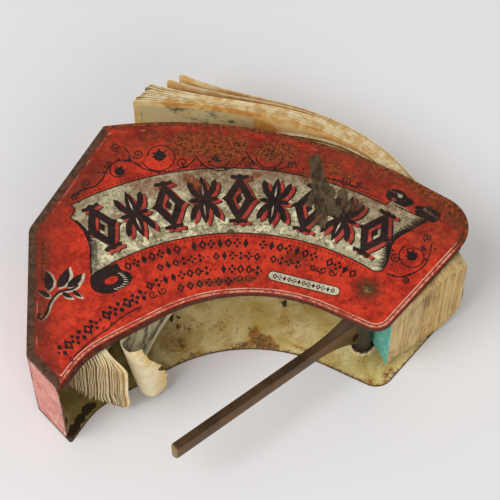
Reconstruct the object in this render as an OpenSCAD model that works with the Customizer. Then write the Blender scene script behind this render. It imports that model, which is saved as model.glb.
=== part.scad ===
// Hand-held flip-book viewer: a fan-shaped tinplate case, a lever on a rivet
// and a block of printed leaves bound to the lever's barrel.
// Millimetres. Z is up, the back plate lies on Z = 0, and the lever's axis
// stands upright. Plan sizes are measured from that axis, as seen from above.

/* [Case] */
// Thickness of the tinplate
tin_t = 0.5; // [0.3:0.05:0.8]
// Depth of the case, from the table to the face of the front plate
case_depth = 42; // [36:0.5:55]
// Height of the front plate's turned-down rim
rim_h = 1.7; // [1:0.1:1.9]
// How far the back plate reaches past the front plate at the right end
back_reach = 2.6; // [0:0.1:4]
// Distance from a cut corner to where a rim or wall begins
corner_relief = 1; // [0.6:0.1:2]

/* [Case outline] */
// Upper left corner, left of the axis
crown_left = 96.5; // [90:0.5:102]
// Upper left corner, above the axis
crown_up = 69.9; // [64:0.5:74]
// Meeting point of the outer arc's tangents, left of the axis
arch_left = 33.4; // [30:0.2:37]
// Meeting point of the outer arc's tangents, above the axis
arch_up = 79.3; // [77:0.2:82]
// Radius of the outer arc
arch_r = 166; // [150:1:170]
// Right tip before rounding, right of the axis
tip_right = 43.8; // [42:0.2:47]
// Right tip before rounding, above the axis
tip_up = 29.1; // [26:0.2:32]
// Radius of the right tip
tip_r = 13.5; // [8:0.5:15]
// Foot corner before rounding, right of the axis
foot_right = 4; // [2:0.2:6]
// Foot corner before rounding, below the axis
foot_down = 18.2; // [16:0.2:20]
// Radius of the foot corner
foot_r = 7; // [4:0.5:8]
// Meeting point of the mouth arc's tangents, left of the axis
mouth_left = 44; // [40:0.5:48]
// Meeting point of the mouth arc's tangents, above the axis
mouth_up = 6.8; // [3:0.2:9]
// Radius of the mouth arc
mouth_r = 59; // [50:1:62]
// Bend near the left end of the mouth, left of the axis
bend_left = 97.9; // [94:0.5:100]
// Bend near the left end of the mouth, below the axis
bend_down = 26.5; // [24:0.2:28]
// Radius of that bend
bend_r = 30; // [15:1:34]
// Lower left corner, left of the axis
heel_left = 106.6; // [104:0.2:109]
// Lower left corner, below the axis
heel_down = 40.6; // [38:0.2:43]
// Outer end of the end wall, left of the axis
end_left = 119.3; // [117:0.2:122]
// Outer end of the end wall, below the axis
end_down = 26.5; // [24:0.2:28]
// Left corner, left of the axis
side_left = 121.6; // [120:0.2:124]
// Left corner, above the axis
side_up = 24.7; // [20:0.5:28]
// Radius of the left corner
side_r = 6; // [2:0.5:8]
// Radius left on the sharp corners of the sheet
sharp_r = 0.8; // [0.3:0.1:1.2]

/* [End wall] */
// Width of the folds that are soldered to the plates
fold_w = 3; // [2:0.1:5]
// Length of the wall past the left corner
wall_return = 9; // [4:0.5:16]

/* [Pivot rivet] */
// Radius of the rivet's shank
rivet_r = 1.1; // [0.8:0.05:1.5]
// Radius of the front head
rivet_head_r = 1.8; // [1.7:0.05:2.6]
// Height of the front head
rivet_head_h = 0.7; // [0.4:0.05:1]
// Radius of the back head
rivet_back_r = 2.6; // [2.2:0.05:3.4]
// Thickness of the back head
rivet_back_h = 0.6; // [0.3:0.05:0.8]
// Gap between the shank and the holes in the plates
rivet_fit = 0.02; // [0.01:0.01:0.05]
// Radius of the hollow boss pressed into the back plate
boss_r = 4.2; // [3.8:0.1:5]
// Height of that boss
boss_h = 0.9; // [0.85:0.05:1.2]

/* [Lever] */
// Length of the lever from the axis to its tip
lever_len = 87.5; // [75:1:98]
// Direction of the lever at rest, from the +X axis
lever_angle = 217.9; // [212:0.1:222]
// Width of the lever arm
arm_w = 3.1; // [2.6:0.1:4]
// Height of the lever arm
arm_h = 6.8; // [5.4:0.1:9]
// Sideways distance of the arm's middle from the axis
arm_offset = 0.4; // [0:0.05:1.2]
// Radius of the barrel on the rivet
barrel_r = 3.35; // [3:0.05:3.6]
// Radial running gap between the barrel and the rivet
barrel_fit = 0.06; // [0.02:0.01:0.1]
// Gap between the barrel's ends and the plates
barrel_end_gap = 0.35; // [0.3:0.05:0.6]
// Distance from the axis at which the arm starts to widen
flare_start = 26; // [20:0.5:32]
// Gap left above and below the widened root
root_gap = 1.6; // [0.8:0.1:3]
// Radius of the oblong hole in the root
root_hole_r = 1.3; // [0.8:0.1:1.4]
// Height of the oblong hole in the root
root_hole_h = 4.6; // [3.4:0.1:6]
// Distance of the oblong hole from the axis
root_hole_x = 5.6; // [5.4:0.1:7]
// Length of the plate on the barrel that the block is stitched to
plate_len = 12; // [11:0.5:16]

/* [Leaf block] */
// Number of leaf packets in the block
leaf_count = 35; // [25:1:40]
// Thickness of the whole block
block_t = 34; // [30:0.5:38]
// Length of the bound end of a leaf
bound_len = 24; // [20:0.5:26]
// How far the block reaches behind the axis
block_back = 12.4; // [12:0.2:14]
// Direction in which the leaves leave the block, from the +X axis
leaf_angle = 116; // [112:0.5:118]
// Slope of the block's bound face, in degrees off square
block_skew = 11; // [10:0.5:18]
// Gap between the leaves and the plates
leaf_gap = 1.8; // [1.5:0.1:2.5]
// Thickness of a leaf packet outside the block
leaf_t = 0.45; // [0.3:0.05:0.5]
// Air between neighbouring bound ends
bound_gap = 0.03; // [0.02:0.01:0.06]
// Thickness of the coloured cover paper
cover_t = 0.28; // [0.2:0.02:0.3]
// Gap on each side of the cover paper
cover_gap = 0.03; // [0.02:0.01:0.05]
// Radius of the binding wire
wire_r = 0.6; // [0.4:0.05:0.7]
// Distance of the binding wire ahead of the axis
wire_ahead = 6; // [5.4:0.1:7]
// Distance of the wire's legs from the edges of the leaves
wire_margin = 8; // [6:0.5:12]
// Gap between the wire and the holes it runs through
wire_fit = 0.05; // [0.03:0.01:0.1]
// Length that the bends and the ends of the free leaves are set out in
leaf_reach = 100; // [97:0.5:103]
// Radius of the curl at the end of the torn leaf
curl_r = 4.3; // [3.4:0.1:4.6]
// Length of the torn leaf past its curl
curl_tail = 1; // [0.5:0.5:2]

/* [Hidden] */
LAST = leaf_count - 1;
// Index of the first leaf of each bundle, from the barrel outwards
FIRST_CAUGHT = 1;
FIRST_NEAR = floor(leaf_count * 0.43);
FIRST_SPRUNG = floor(leaf_count * 0.77);
LOOSE = 2;

ARC_SAG = 0.04;
EDGE_REST = 0.4;
LEAF_STEPS = 20;
CURL_STEPS = 12;
$fn = 48;

two_digits = function (i) i < 9 ? str("0", i + 1) : str(i + 1);
leaf_name = function (i) str("leaf_", two_digits(i));

// Corners of the case before rounding, clockwise, each with its radius
CORNERS = [
    [-crown_left, crown_up, sharp_r],
    [-arch_left, arch_up, arch_r],
    [tip_right, tip_up, tip_r],
    [foot_right, -foot_down, foot_r],
    [-mouth_left, mouth_up, mouth_r],
    [-bend_left, -bend_down, bend_r],
    [-heel_left, -heel_down, sharp_r],
    [-end_left, -end_down, sharp_r],
    [-side_left, side_up, side_r]
];
CORNER_COUNT = len(CORNERS);
CROWN = 0;
TIP = 2;
BEND = 5;
HEEL = 6;
END = 7;
SIDE = 8;

function unit(v) = v / norm(v);
function cross_2d(a, b) = a[0] * b[1] - a[1] * b[0];
function corner(i) = let (c = CORNERS[(i + CORNER_COUNT) % CORNER_COUNT]) [c[0], c[1]];
function edge_dir(i) = unit(corner(i + 1) - corner(i));
function edge_in(i) = let (u = edge_dir(i)) [u[1], -u[0]];
function heading(angle) = [cos(angle), sin(angle)];
function corner_size(i) = CORNERS[(i + CORNER_COUNT) % CORNER_COUNT][2];
function edge_len(i) = norm(corner(i + 1) - corner(i));
function half_turn_tan(i) = tan(acos(edge_dir(i - 1) * edge_dir(i)) / 2);
// Part of an edge that corner i may take: the smaller of two roundings goes first
function edge_room(i, edge, other) =
    corner_size(other) < corner_size(i) ? edge_len(edge) - corner_reach(other) - EDGE_REST : (edge_len(edge) - EDGE_REST) / 2;
// Length of each straight edge that the rounding of corner i takes up
function corner_reach(i) =
    min(corner_size(i) * half_turn_tan(i), edge_room(i, i - 1, i - 1), edge_room(i, i, i + 1));
function corner_radius(i) = corner_reach(i) / half_turn_tan(i);

// Corner i after its two edges have moved inwards by d1 and d2
function moved_corner(i, d1, d2) =
    let (n1 = edge_in(i - 1), n2 = edge_in(i), det = cross_2d(n1, n2))
    corner(i) + [d1 * n2[1] - d2 * n1[1], n1[0] * d2 - n2[0] * d1] / det;

// Rounded corner i as points, with its edges moved inwards by d1 and d2
function corner_arc(i, d1, d2) =
    let (
        u1 = edge_dir(i - 1),
        u2 = edge_dir(i),
        turn = cross_2d(u1, u2) < 0 ? -1 : 1,
        shift = turn < 0 ? -min(d1, d2) : max(d1, d2),
        r = max(corner_radius(i) + (d1 == d2 ? shift : 0), 0.1),
        v = moved_corner(i, d1, d2),
        bend = acos(u1 * u2),
        reach = r * tan(bend / 2),
        start = v - u1 * reach,
        centre = start + turn * r * [-u1[1], u1[0]],
        from = atan2(start[1] - centre[1], start[0] - centre[0]),
        steps = max(2, ceil(bend / (2 * acos(1 - min(ARC_SAG / r, 0.2)))))
    )
    [for (k = [0 : steps]) centre + r * heading(from + turn * bend * k / steps)];

// Whole outline, inset by d, with the right end reaching out by more
function outline(d = 0, more = 0) = [
    for (i = [0 : CORNER_COUNT - 1])
        each corner_arc(i, i - 1 == TIP ? d - more : d, i == TIP ? d - more : d)
];

// A stretch of the edge from corner a to corner b, inset by d, with its ends cut back
function edge_run(a, b, d, cut_a, cut_b) = concat(
    [moved_corner(a, d, d) + edge_dir(a) * cut_a],
    [for (i = [a + 1 : b - 1]) each corner_arc(i, d, d)],
    [moved_corner(b, d, d) - edge_dir(b - 1) * cut_b]
);
function reversed(pts) = [for (i = [len(pts) - 1 : -1 : 0]) pts[i]];
function band(a, b, d1, d2, cut_a, cut_b) =
    concat(edge_run(a, b, d1, cut_a, cut_b), reversed(edge_run(a, b, d2, cut_a, cut_b)));

// Heights
front_z = case_depth - tin_t;
boss_top = boss_h + tin_t;
barrel_z0 = boss_top + barrel_end_gap;
barrel_z1 = front_z - barrel_end_gap;
barrel_mid = (barrel_z0 + barrel_z1) / 2;
leaf_z0 = tin_t + leaf_gap;
leaf_z1 = front_z - leaf_gap;
leaf_w = leaf_z1 - leaf_z0;

// The block's own axes: ALONG the leaves and ACROSS the stack
ALONG = heading(leaf_angle);
ACROSS = heading(leaf_angle - 90);
pitch = block_t / leaf_count;
cover_in = barrel_r + cover_gap;
block_in = cover_in + cover_t + cover_gap;
block_out = block_in + block_t;
function stack_at(i) = block_in + pitch * (i + 0.5);
function leaf_back(i) = -block_back + tan(block_skew) * (stack_at(i) - block_in);
function leaf_root(i) = ACROSS * stack_at(i) + ALONG * (leaf_back(i) + bound_len);

// Free ends and bends of the bundles at rest: end point, end direction,
// direction at the root, pull at the root and pull at the end. The pulls, and
// the distances from a corner of the case, are shares of leaf_reach.
function near_corner(i, x, y) = corner(i) + leaf_reach * [x, y];
end_caught_first = [near_corner(BEND, 0.012, 0.155), 272, 116, 0.36, 0.28];
end_caught_last = [near_corner(BEND, -0.15, 0.21), 264, 116, 0.4, 0.32];
end_near_first = [near_corner(SIDE, 0.3, 0.16), 205, 114, 0.36, 0.4];
end_near_last = [near_corner(CROWN, 0.167, -0.077), 196, 101, 0.48, 0.42];
end_sprung_first = [near_corner(CROWN, 0.099, 0.144), 174, 103, 0.52, 0.42];
end_sprung_last = [near_corner(CROWN, 0.155, 0.216), 160, 108.5, 0.58, 0.4];
end_loose_first = [near_corner(CROWN, 0.22, 0.246), 155, 108.5, 0.56, 0.37];
end_loose_last = [near_corner(CROWN, 0.27, 0.27), 150, 108.5, 0.54, 0.34];
end_torn = [near_corner(BEND, 0.136, 0.096), 250, 115, 0.32, 0.38];
CURL_TURN = 190;
// The caught leaves run on from there to their tips behind the mouth: tip,
// direction at the tip, pull at its start and pull at the tip
tip_caught_first = [near_corner(BEND, 0.095, -0.035), 298, 0.07, 0.06];
tip_caught_last = [near_corner(BEND, -0.067, 0.032), 292, 0.08, 0.05];
TIP_STEPS = 8;

function blend(a, b, k) = [for (j = [0 : len(a) - 1]) a[j] + (b[j] - a[j]) * k];
function share(i, first, last) = (i - first) / max(last - first, 1);
function leaf_shape(i) =
    i < FIRST_NEAR ? blend(end_caught_first, end_caught_last, share(i, FIRST_CAUGHT, FIRST_NEAR - 1)) :
    i < FIRST_SPRUNG ? blend(end_near_first, end_near_last, share(i, FIRST_NEAR, FIRST_SPRUNG - 1)) :
    i <= LAST - LOOSE ? blend(end_sprung_first, end_sprung_last, share(i, FIRST_SPRUNG, LAST - LOOSE)) :
    blend(end_loose_first, end_loose_last, share(i, LAST - LOOSE + 1, LAST));

// Cubic curve from the root to the free end of a leaf
function curve_point(a, b, c, d, t) =
    pow(1 - t, 3) * a + 3 * pow(1 - t, 2) * t * b + 3 * (1 - t) * t * t * c + pow(t, 3) * d;
function leaf_curve(root, shape) =
    let (
        second = root + leaf_reach * shape[3] * heading(shape[2]),
        third = shape[0] - leaf_reach * shape[4] * heading(shape[1])
    )
    [for (k = [0 : LEAF_STEPS]) curve_point(root, second, third, shape[0], k / LEAF_STEPS)];

// Last stretch of a caught leaf, from the end of its first curve to its tip
function tip_curve(start, way, tip) =
    [for (k = [1 : TIP_STEPS])
        curve_point(
            start,
            start + leaf_reach * tip[2] * heading(way),
            tip[0] - leaf_reach * tip[3] * heading(tip[1]),
            tip[0],
            k / TIP_STEPS
        )];
function leaf_run(i) =
    let (shape = leaf_shape(i), run = leaf_curve(leaf_root(i), shape))
    i < FIRST_NEAR ?
        let (tip = blend(tip_caught_first, tip_caught_last, share(i, FIRST_CAUGHT, FIRST_NEAR - 1)))
        concat(run, tip_curve(shape[0], shape[1], tip)) :
        run;

// The torn leaf runs to its curl and turns back on itself towards the mouth
function torn_curve() =
    let (angle = end_torn[1], centre = end_torn[0] + curl_r * heading(angle + 90), last_angle = angle + CURL_TURN)
    concat(
        leaf_curve(leaf_root(0), end_torn),
        [for (k = [1 : CURL_STEPS]) centre + curl_r * heading(angle - 90 + CURL_TURN * k / CURL_STEPS)],
        [centre + curl_r * heading(last_angle - 90) + curl_tail * heading(last_angle)]
    );

// Outline of leaf i: its bound end, as thick as its place in the block, and
// the thin sheet that leaves it and follows a curve
function side_normal(pts, k) =
    k == 0 ? -ACROSS :
    let (u = unit(pts[min(k + 1, len(pts) - 1)] - pts[k - 1])) [-u[1], u[0]];
function leaf_outline(i, pts) =
    let (back = leaf_root(i) - ALONG * bound_len, half = ACROSS * (pitch - bound_gap) / 2)
    concat(
        [back - half, pts[0] - half],
        [for (k = [0 : len(pts) - 1]) pts[k] + side_normal(pts, k) * leaf_t / 2],
        [for (k = [len(pts) - 1 : -1 : 0]) pts[k] - side_normal(pts, k) * leaf_t / 2],
        [pts[0] + half, back + half]
    );

// Middle of the whole viewer in plan, for the origin
case_pts = concat(outline(), outline(0, back_reach));
lever_tip = lever_len * heading(lever_angle);
lever_low = lever_tip - (arm_w / 2) * [0, 1];
outer_leaf = leaf_outline(LAST, leaf_run(LAST));
plan_pts = concat(case_pts, [lever_low], outer_leaf);
mid_x = (min([for (p = plan_pts) p[0]]) + max([for (p = plan_pts) p[0]])) / 2;
mid_y = (min([for (p = plan_pts) p[1]]) + max([for (p = plan_pts) p[1]])) / 2;

module home() {
    translate([-mid_x, -mid_y, 0]) children();
}

module front_plate() home() color("firebrick") {
    difference() {
        translate([0, 0, front_z]) linear_extrude(tin_t) polygon(outline());
        translate([0, 0, front_z - tin_t]) cylinder(r = rivet_r + rivet_fit, h = 3 * tin_t);
    }
    translate([0, 0, case_depth - rim_h]) linear_extrude(rim_h - tin_t / 2)
        polygon(band(TIP, HEEL, 0, tin_t, corner_reach(TIP), corner_relief));
}

module back_plate() home() color("darkkhaki") difference() {
    union() {
        linear_extrude(tin_t) polygon(outline(0, back_reach));
        cylinder(r = boss_r + tin_t, h = boss_top);
    }
    translate([0, 0, -tin_t]) cylinder(r = boss_r, h = boss_h + tin_t);
    cylinder(r = rivet_r + rivet_fit, h = boss_top + tin_t);
}

module end_wall() home() color("salmon") {
    height = front_z - tin_t;
    translate([0, 0, tin_t]) linear_extrude(height)
        polygon(band(HEEL, SIDE + 1, 0, tin_t, corner_relief, edge_cut()));
    for (z = [tin_t, front_z - tin_t])
        translate([0, 0, z]) linear_extrude(tin_t)
            polygon(band(HEEL, SIDE + 1, tin_t / 2, fold_w, corner_relief + fold_w, edge_cut()));
}
function edge_cut() = norm(corner(CROWN) - corner(SIDE)) - wall_return;

module pivot_rivet() home() color("peru") {
    translate([0, 0, boss_h - rivet_back_h]) cylinder(r = rivet_back_r, h = rivet_back_h);
    translate([0, 0, boss_h - rivet_back_h / 2]) cylinder(r = rivet_r, h = case_depth - boss_h + rivet_back_h / 2);
    translate([0, 0, case_depth]) rotate_extrude() intersection() {
        translate([0, rivet_head_h - dome_r()]) circle(r = dome_r());
        square([rivet_head_r, rivet_head_h]);
    }
}
function dome_r() = (rivet_head_r * rivet_head_r + rivet_head_h * rivet_head_h) / (2 * rivet_head_h);

// Half the height of the lever at a distance r from the axis
root_half = (barrel_z1 - barrel_z0) / 2 - root_gap;
function lever_half(r) =
    r >= flare_start ? arm_h / 2 :
    arm_h / 2 + (root_half - arm_h / 2) * pow((flare_start - r) / flare_start, 2.4);
function lever_side() =
    let (rs = concat([for (k = [0 : 12]) k * flare_start / 12], [lever_len - arm_w / 4, lever_len]))
    concat(
        [for (r = rs) [r, lever_half(r) - (r == lever_len ? arm_w / 4 : 0)]],
        [for (k = [len(rs) - 1 : -1 : 0]) [rs[k], -lever_half(rs[k]) + (rs[k] == lever_len ? arm_w / 4 : 0)]]
    );

module lever() home() color("dimgray") difference() {
    union() {
        translate([0, 0, barrel_z0]) cylinder(r = barrel_r, h = barrel_z1 - barrel_z0);
        translate([0, 0, barrel_mid]) rotate([0, 0, lever_angle]) intersection() {
            translate([0, arm_offset, 0]) rotate([90, 0, 0])
                linear_extrude(arm_w, center = true) polygon(lever_side());
            translate([0, arm_offset, -case_depth]) {
                translate([0, -arm_w / 2, 0]) cube([lever_len - arm_w / 2, arm_w, 2 * case_depth]);
                translate([lever_len - arm_w / 2, 0, 0]) cylinder(r = arm_w / 2, h = 2 * case_depth);
            }
        }
        translate([0, 0, barrel_z0 + root_gap]) rotate([0, 0, leaf_angle])
            translate([0, -barrel_r, 0]) cube([plate_len, tin_t, barrel_z1 - barrel_z0 - 2 * root_gap]);
    }
    translate([0, 0, barrel_z0 - 1]) cylinder(r = rivet_r + barrel_fit, h = barrel_z1 - barrel_z0 + 2);
    wire_legs(wire_r + wire_fit);
    translate([0, 0, barrel_mid - arm_h]) rotate([0, 0, lever_angle])
        for (z = [-1, 1])
            translate([root_hole_x, 0, z * (root_hole_h / 2 - root_hole_r)]) rotate([90, 0, 0])
                cylinder(r = root_hole_r, h = 2 * arm_w, center = true);
    translate([0, 0, barrel_mid - arm_h]) rotate([0, 0, lever_angle])
        translate([root_hole_x - root_hole_r, -arm_w, -root_hole_h / 2 + root_hole_r])
            cube([2 * root_hole_r, 2 * arm_w, root_hole_h - 2 * root_hole_r]);
}

// The two legs of the binding wire, right through the block
wire_z = [leaf_z0 + wire_margin, leaf_z1 - wire_margin];
wire_in = barrel_r - tin_t - wire_r;
wire_out = block_out + wire_r;
module wire_legs(r, spare = 1) {
    for (z = wire_z)
        rotate([0, 0, leaf_angle]) translate([wire_ahead, -wire_out - spare, z]) rotate([-90, 0, 0])
            cylinder(r = r, h = wire_out - wire_in + 2 * spare);
}

module binding_wire() home() color("slategray") {
    wire_legs(wire_r, 0);
    rotate([0, 0, leaf_angle]) {
        translate([wire_ahead, -wire_in, wire_z[0]]) cylinder(r = wire_r, h = wire_z[1] - wire_z[0]);
        for (z = wire_z) translate([wire_ahead, -wire_in, z]) sphere(r = wire_r);
        for (z = wire_z) translate([wire_ahead, -wire_out, z]) sphere(r = wire_r);
        translate([wire_ahead, -wire_out, wire_z[0]]) cylinder(r = wire_r, h = wire_margin);
        translate([wire_ahead, -wire_out, wire_z[1] - wire_margin]) cylinder(r = wire_r, h = wire_margin);
    }
}

module cover_paper() home() color("mediumaquamarine") difference() {
    translate([0, 0, leaf_z0]) rotate([0, 0, leaf_angle])
        translate([-block_back, -cover_in - cover_t, 0]) cube([bound_len, cover_t, leaf_w]);
    wire_legs(wire_r + wire_fit);
}

module bound_sheet(i, curve) difference() {
    translate([0, 0, leaf_z0]) linear_extrude(leaf_w) polygon(leaf_outline(i, curve));
    wire_legs(wire_r + wire_fit);
}

module leaf(i) home() color("cornsilk") bound_sheet(i, leaf_run(i));
module torn_leaf() home() color("ivory") bound_sheet(0, torn_curve());

front_plate();
back_plate();
end_wall();
pivot_rivet();
lever();
cover_paper();
binding_wire();
torn_leaf();
for (i = [FIRST_CAUGHT : LAST]) leaf(i);
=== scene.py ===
import math
import random

import bmesh
import bpy
import numpy as np
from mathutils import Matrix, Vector


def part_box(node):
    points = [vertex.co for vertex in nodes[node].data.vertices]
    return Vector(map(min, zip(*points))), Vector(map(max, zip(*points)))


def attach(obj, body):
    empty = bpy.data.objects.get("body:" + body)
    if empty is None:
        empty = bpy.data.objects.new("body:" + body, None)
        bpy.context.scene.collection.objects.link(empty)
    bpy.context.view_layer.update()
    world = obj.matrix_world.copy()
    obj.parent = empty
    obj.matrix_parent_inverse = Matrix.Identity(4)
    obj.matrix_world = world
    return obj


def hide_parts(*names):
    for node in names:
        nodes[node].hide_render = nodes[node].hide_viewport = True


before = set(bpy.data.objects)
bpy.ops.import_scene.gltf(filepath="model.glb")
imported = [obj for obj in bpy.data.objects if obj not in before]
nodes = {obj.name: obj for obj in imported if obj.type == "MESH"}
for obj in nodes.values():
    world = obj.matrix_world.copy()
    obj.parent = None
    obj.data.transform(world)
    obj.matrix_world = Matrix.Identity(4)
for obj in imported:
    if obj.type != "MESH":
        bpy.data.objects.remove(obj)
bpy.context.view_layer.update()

# Camera, floor and light. The viewer lies on its back plate on a plain pale
# table and is seen from its mouth side, 59 degrees up, under soft studio light.
MM = 0.001
CAMERA_AT, LOOK_AT = (-41.8, -321.85, 604.2), (-41.8, 41.2, 0)
LENS_MM, FILM_MM = 131.8, 36
WORLD_LIGHT, KEY_WATTS, FILL_WATTS = 0.49, 43.0, 17.0
rivet_low, rivet_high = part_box("pivot_rivet")
AXIS = ((rivet_low.x + rivet_high.x) / 2, (rivet_low.y + rivet_high.y) / 2)


def place(x, y, z=0.0):
    """A point in the shared frame, given in millimetres from the rivet's axis and the table."""
    return (AXIS[0] + x * MM, AXIS[1] + y * MM, z * MM)


def linked(name, data):
    """A new object that stands in the scene."""
    made = bpy.data.objects.new(name, data)
    bpy.context.scene.collection.objects.link(made)
    return made


def aim(thing, position, target):
    thing.location = position
    thing.rotation_euler = (Vector(target) - Vector(position)).to_track_quat("-Z", "Y").to_euler()


def soft_light(name, position, size, watts):
    data = bpy.data.lights.new(name, "AREA")
    data.shape, data.size, data.energy = "DISK", size, watts
    aim(linked(name, data), position, (0, 0, 0))


camera_data = bpy.data.cameras.new("camera")
camera_data.lens, camera_data.sensor_width = LENS_MM, FILM_MM
camera = linked("camera", camera_data)
aim(camera, place(*CAMERA_AT), place(*LOOK_AT))
bpy.context.scene.camera = camera
bpy.context.scene.view_settings.view_transform = "Standard"

world = bpy.data.worlds.new("studio")
bpy.context.scene.world = world
world.use_nodes = True
world.node_tree.nodes["Background"].inputs["Color"].default_value = (1.0, 1.0, 1.0, 1)
world.node_tree.nodes["Background"].inputs["Strength"].default_value = WORLD_LIGHT
soft_light("key_light", (-1.4, -0.9, 2.1), 1.8, KEY_WATTS)
soft_light("fill_light", (0.7, -2.0, 1.2), 1.6, FILL_WATTS)

bpy.ops.mesh.primitive_plane_add(size=6, location=(0, 0, 0))
floor = bpy.context.object
floor.name = "table"
pale_table = bpy.data.materials.new("pale_table")
pale_table.use_nodes = True
for title, value in (("Base Color", (0.76, 0.75, 0.75, 1)), ("Roughness", 0.6), ("Specular IOR Level", 0.25)):
    pale_table.node_tree.nodes["Principled BSDF"].inputs[title].default_value = value
floor.data.materials.append(pale_table)


# Back plate. Tinplate cut to the fan shape, lacquered pale olive inside, with
# rust along its cut edge, specks of dirt and a burred boss round the lever's barrel.
BACK_GRID = 1.3 * MM
# Each mark is x, y, half length and half width in millimetres, turn in degrees and strength.
BACK_RUST = [
    (-37.5, 1.5, 6.5, 4.5, -8, 0.62), (-33.5, -1, 5, 2.2, -10, 0.66), (-45, -0.5, 5, 2.2, 5, 0.6),
    (-40, 5, 4, 4, 0, 0.5),
    (-62, -5.5, 5, 4, 20, 0.56), (-59, -9, 6, 3.5, 20, 0.6), (-27, 5, 2.2, 2.2, 0, 0.5), (-22.5, -2, 6, 1.6, -20, 0.52),
    (-70, -1, 9, 8, 0, 0.44), (-75, -11, 7, 5, 30, 0.46), (-66, 8, 8, 6, 0, 0.42), (-8, -13, 5, 1.8, -20, 0.5),
    (1, -16, 6, 1.8, 15, 0.56), (9, -12, 5, 2.5, 45, 0.56), (0, -4, 6, 6, 0, 0.42), (-13, -9, 3, 1.5, -20, 0.46),
    (40, 24, 3, 5, 10, 1), (33, 12, 2.2, 9, -38, 0.9), (-28, 10, 4, 4, 0, 0.42), (-48, 8, 20, 6, 0, 0.34),
    (22, -2, 3, 6, -40, 0.5),
]
BACK_DIRT = [
    (-71.5, 12, 1, 3.2, 10, 1), (-69.3, 7.5, 0.6, 1.6, 20, 0.9), (-68.3, 11.5, 1, 0.7, 30, 0.9),
    (-28.8, 17.5, 1.2, 1.6, 0, 1), (-101.5, -27.2, 1.8, 2.6, -20, 1.2), (-103.6, -31, 1.8, 2.8, -30, 1.1),
    (-105.6, -35.6, 2.2, 3.2, -20, 1.2), (-107.4, -38.8, 2.6, 2.2, 0, 1.2), (-99.2, -25.2, 1.2, 1.6, 0, 0.9),
    (-110, -33, 2, 4, -20, 0.6),
]
# Painted shade: patches of darker olive where the back plate lies in shade under the front plate, the leaves and the
# end wall.
BACK_PAINTED_SHADE = [
    (-98, -14, 30, 26, 60, 0.8), (-76, 2, 14, 11, 20, 0.5), (-60, 24, 26, 8, 10, 0.35), (-28, 27, 26, 5, -15, 0.3),
    (6, -2, 8, 8, 0, 0.4),
]


def select_only(piece):
    bpy.ops.object.select_all(action="DESELECT")
    piece.select_set(True)
    bpy.context.view_layer.objects.active = piece


def open_edit(piece, action="SELECT"):
    """Opens a piece in edit mode, with all of it selected or none."""
    select_only(piece)
    bpy.ops.object.mode_set(mode="EDIT")
    bpy.ops.mesh.select_all(action=action)


def copy_of(node, name):
    """The CAD node's shape as a new piece: its loose triangles joined, and its flat faces made whole."""
    piece = linked(name, nodes[node].data.copy())
    piece.data.materials.clear()
    open_edit(piece)
    bpy.ops.mesh.remove_doubles(threshold=2e-6)
    bpy.ops.mesh.dissolve_limited(angle_limit=math.radians(0.4))
    bpy.ops.object.mode_set(mode="OBJECT")
    return piece


def points_of(piece):
    co = np.zeros(len(piece.data.vertices) * 3)
    piece.data.vertices.foreach_get("co", co)
    return co.reshape(-1, 3)


def from_axis(points):
    """The points seen from above, in millimetres from the rivet's axis."""
    return (points[:, :2] - AXIS) / MM


def cut_edges(piece, level):
    """The edges of a flat sheet's outline at one height: pairs of points, and which way each faces."""
    form = bmesh.new()
    form.from_mesh(piece.data)
    ends, ways = [], []
    for edge in form.edges:
        a, b = (v.co for v in edge.verts)
        if abs(a.z - level) > 1e-5 or abs(b.z - level) > 1e-5 or len(edge.link_faces) != 2:
            continue
        sides = [f.normal for f in edge.link_faces if abs(f.normal.z) < 0.2]
        from_rivet = math.hypot((a.x + b.x) / 2 - AXIS[0], (a.y + b.y) / 2 - AXIS[1])
        if len(sides) == 1 and from_rivet > 6 * MM:
            ends.append((a.x, a.y, b.x, b.y))
            ways.append((sides[0].x, sides[0].y))
    form.free()
    return np.array(ends), np.array(ways)


def slice_form(form, axis, at):
    """Cuts a whole form square to one axis."""
    where, way = [0, 0, 0], [0, 0, 0]
    where[axis], way[axis] = at, 1
    everything = form.verts[:] + form.edges[:] + form.faces[:]
    bmesh.ops.bisect_plane(form, geom=everything, plane_co=where, plane_no=way, dist=1e-7)


def rule(piece, step):
    """Cuts a piece along a square grid, so that its wear can be laid on point by point."""
    corners = np.array([v[:] for v in piece.bound_box])
    low, high = corners.min(0), corners.max(0)
    form = bmesh.new()
    form.from_mesh(piece.data)
    for axis in (0, 1):
        for at in np.arange(low[axis] + step / 2, high[axis], step):
            slice_form(form, axis, at)
    bmesh.ops.triangulate(form, faces=[f for f in form.faces if len(f.verts) > 4])
    form.to_mesh(piece.data)
    form.free()


def set_layers(piece, **layers):
    """Writes numbers on a piece's points, by name, for its material to read."""
    for name, values in layers.items():
        layer = piece.data.attributes.get(name) or piece.data.attributes.new(name, "FLOAT", "POINT")
        layer.data.foreach_set("value", np.asarray(values, np.float32))


def near_edge(points, outline):
    """Distance in millimetres from each point to the cut edge, and which way that edge faces."""
    ends, ways = outline
    best = np.full(len(points), 1e9)
    which = np.zeros(len(points), int)
    for k, (ax, ay, bx, by) in enumerate(ends):
        run = np.array([bx - ax, by - ay])
        t = np.clip(((points[:, :2] - (ax, ay)) @ run) / (run @ run), 0, 1)
        gap = np.hypot(points[:, 0] - ax - t * run[0], points[:, 1] - ay - t * run[1])
        closer = gap < best
        best[closer] = gap[closer]
        which[closer] = k
    return best / MM, ways[which]


def marks(points, spots):
    """Strength of listed marks at each point."""
    x, y = from_axis(points).T
    total = np.zeros(len(points))
    for sx, sy, half_length, half_width, turn, strength in spots:
        c, s = math.cos(math.radians(turn)), math.sin(math.radians(turn))
        u = ((x - sx) * c + (y - sy) * s) / half_length
        v = (-(x - sx) * s + (y - sy) * c) / half_width
        fall = np.clip(1.35 - np.hypot(u, v), 0, 1)
        total = np.maximum(total, strength * fall * fall * (3 - 2 * fall))
    return total


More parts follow.
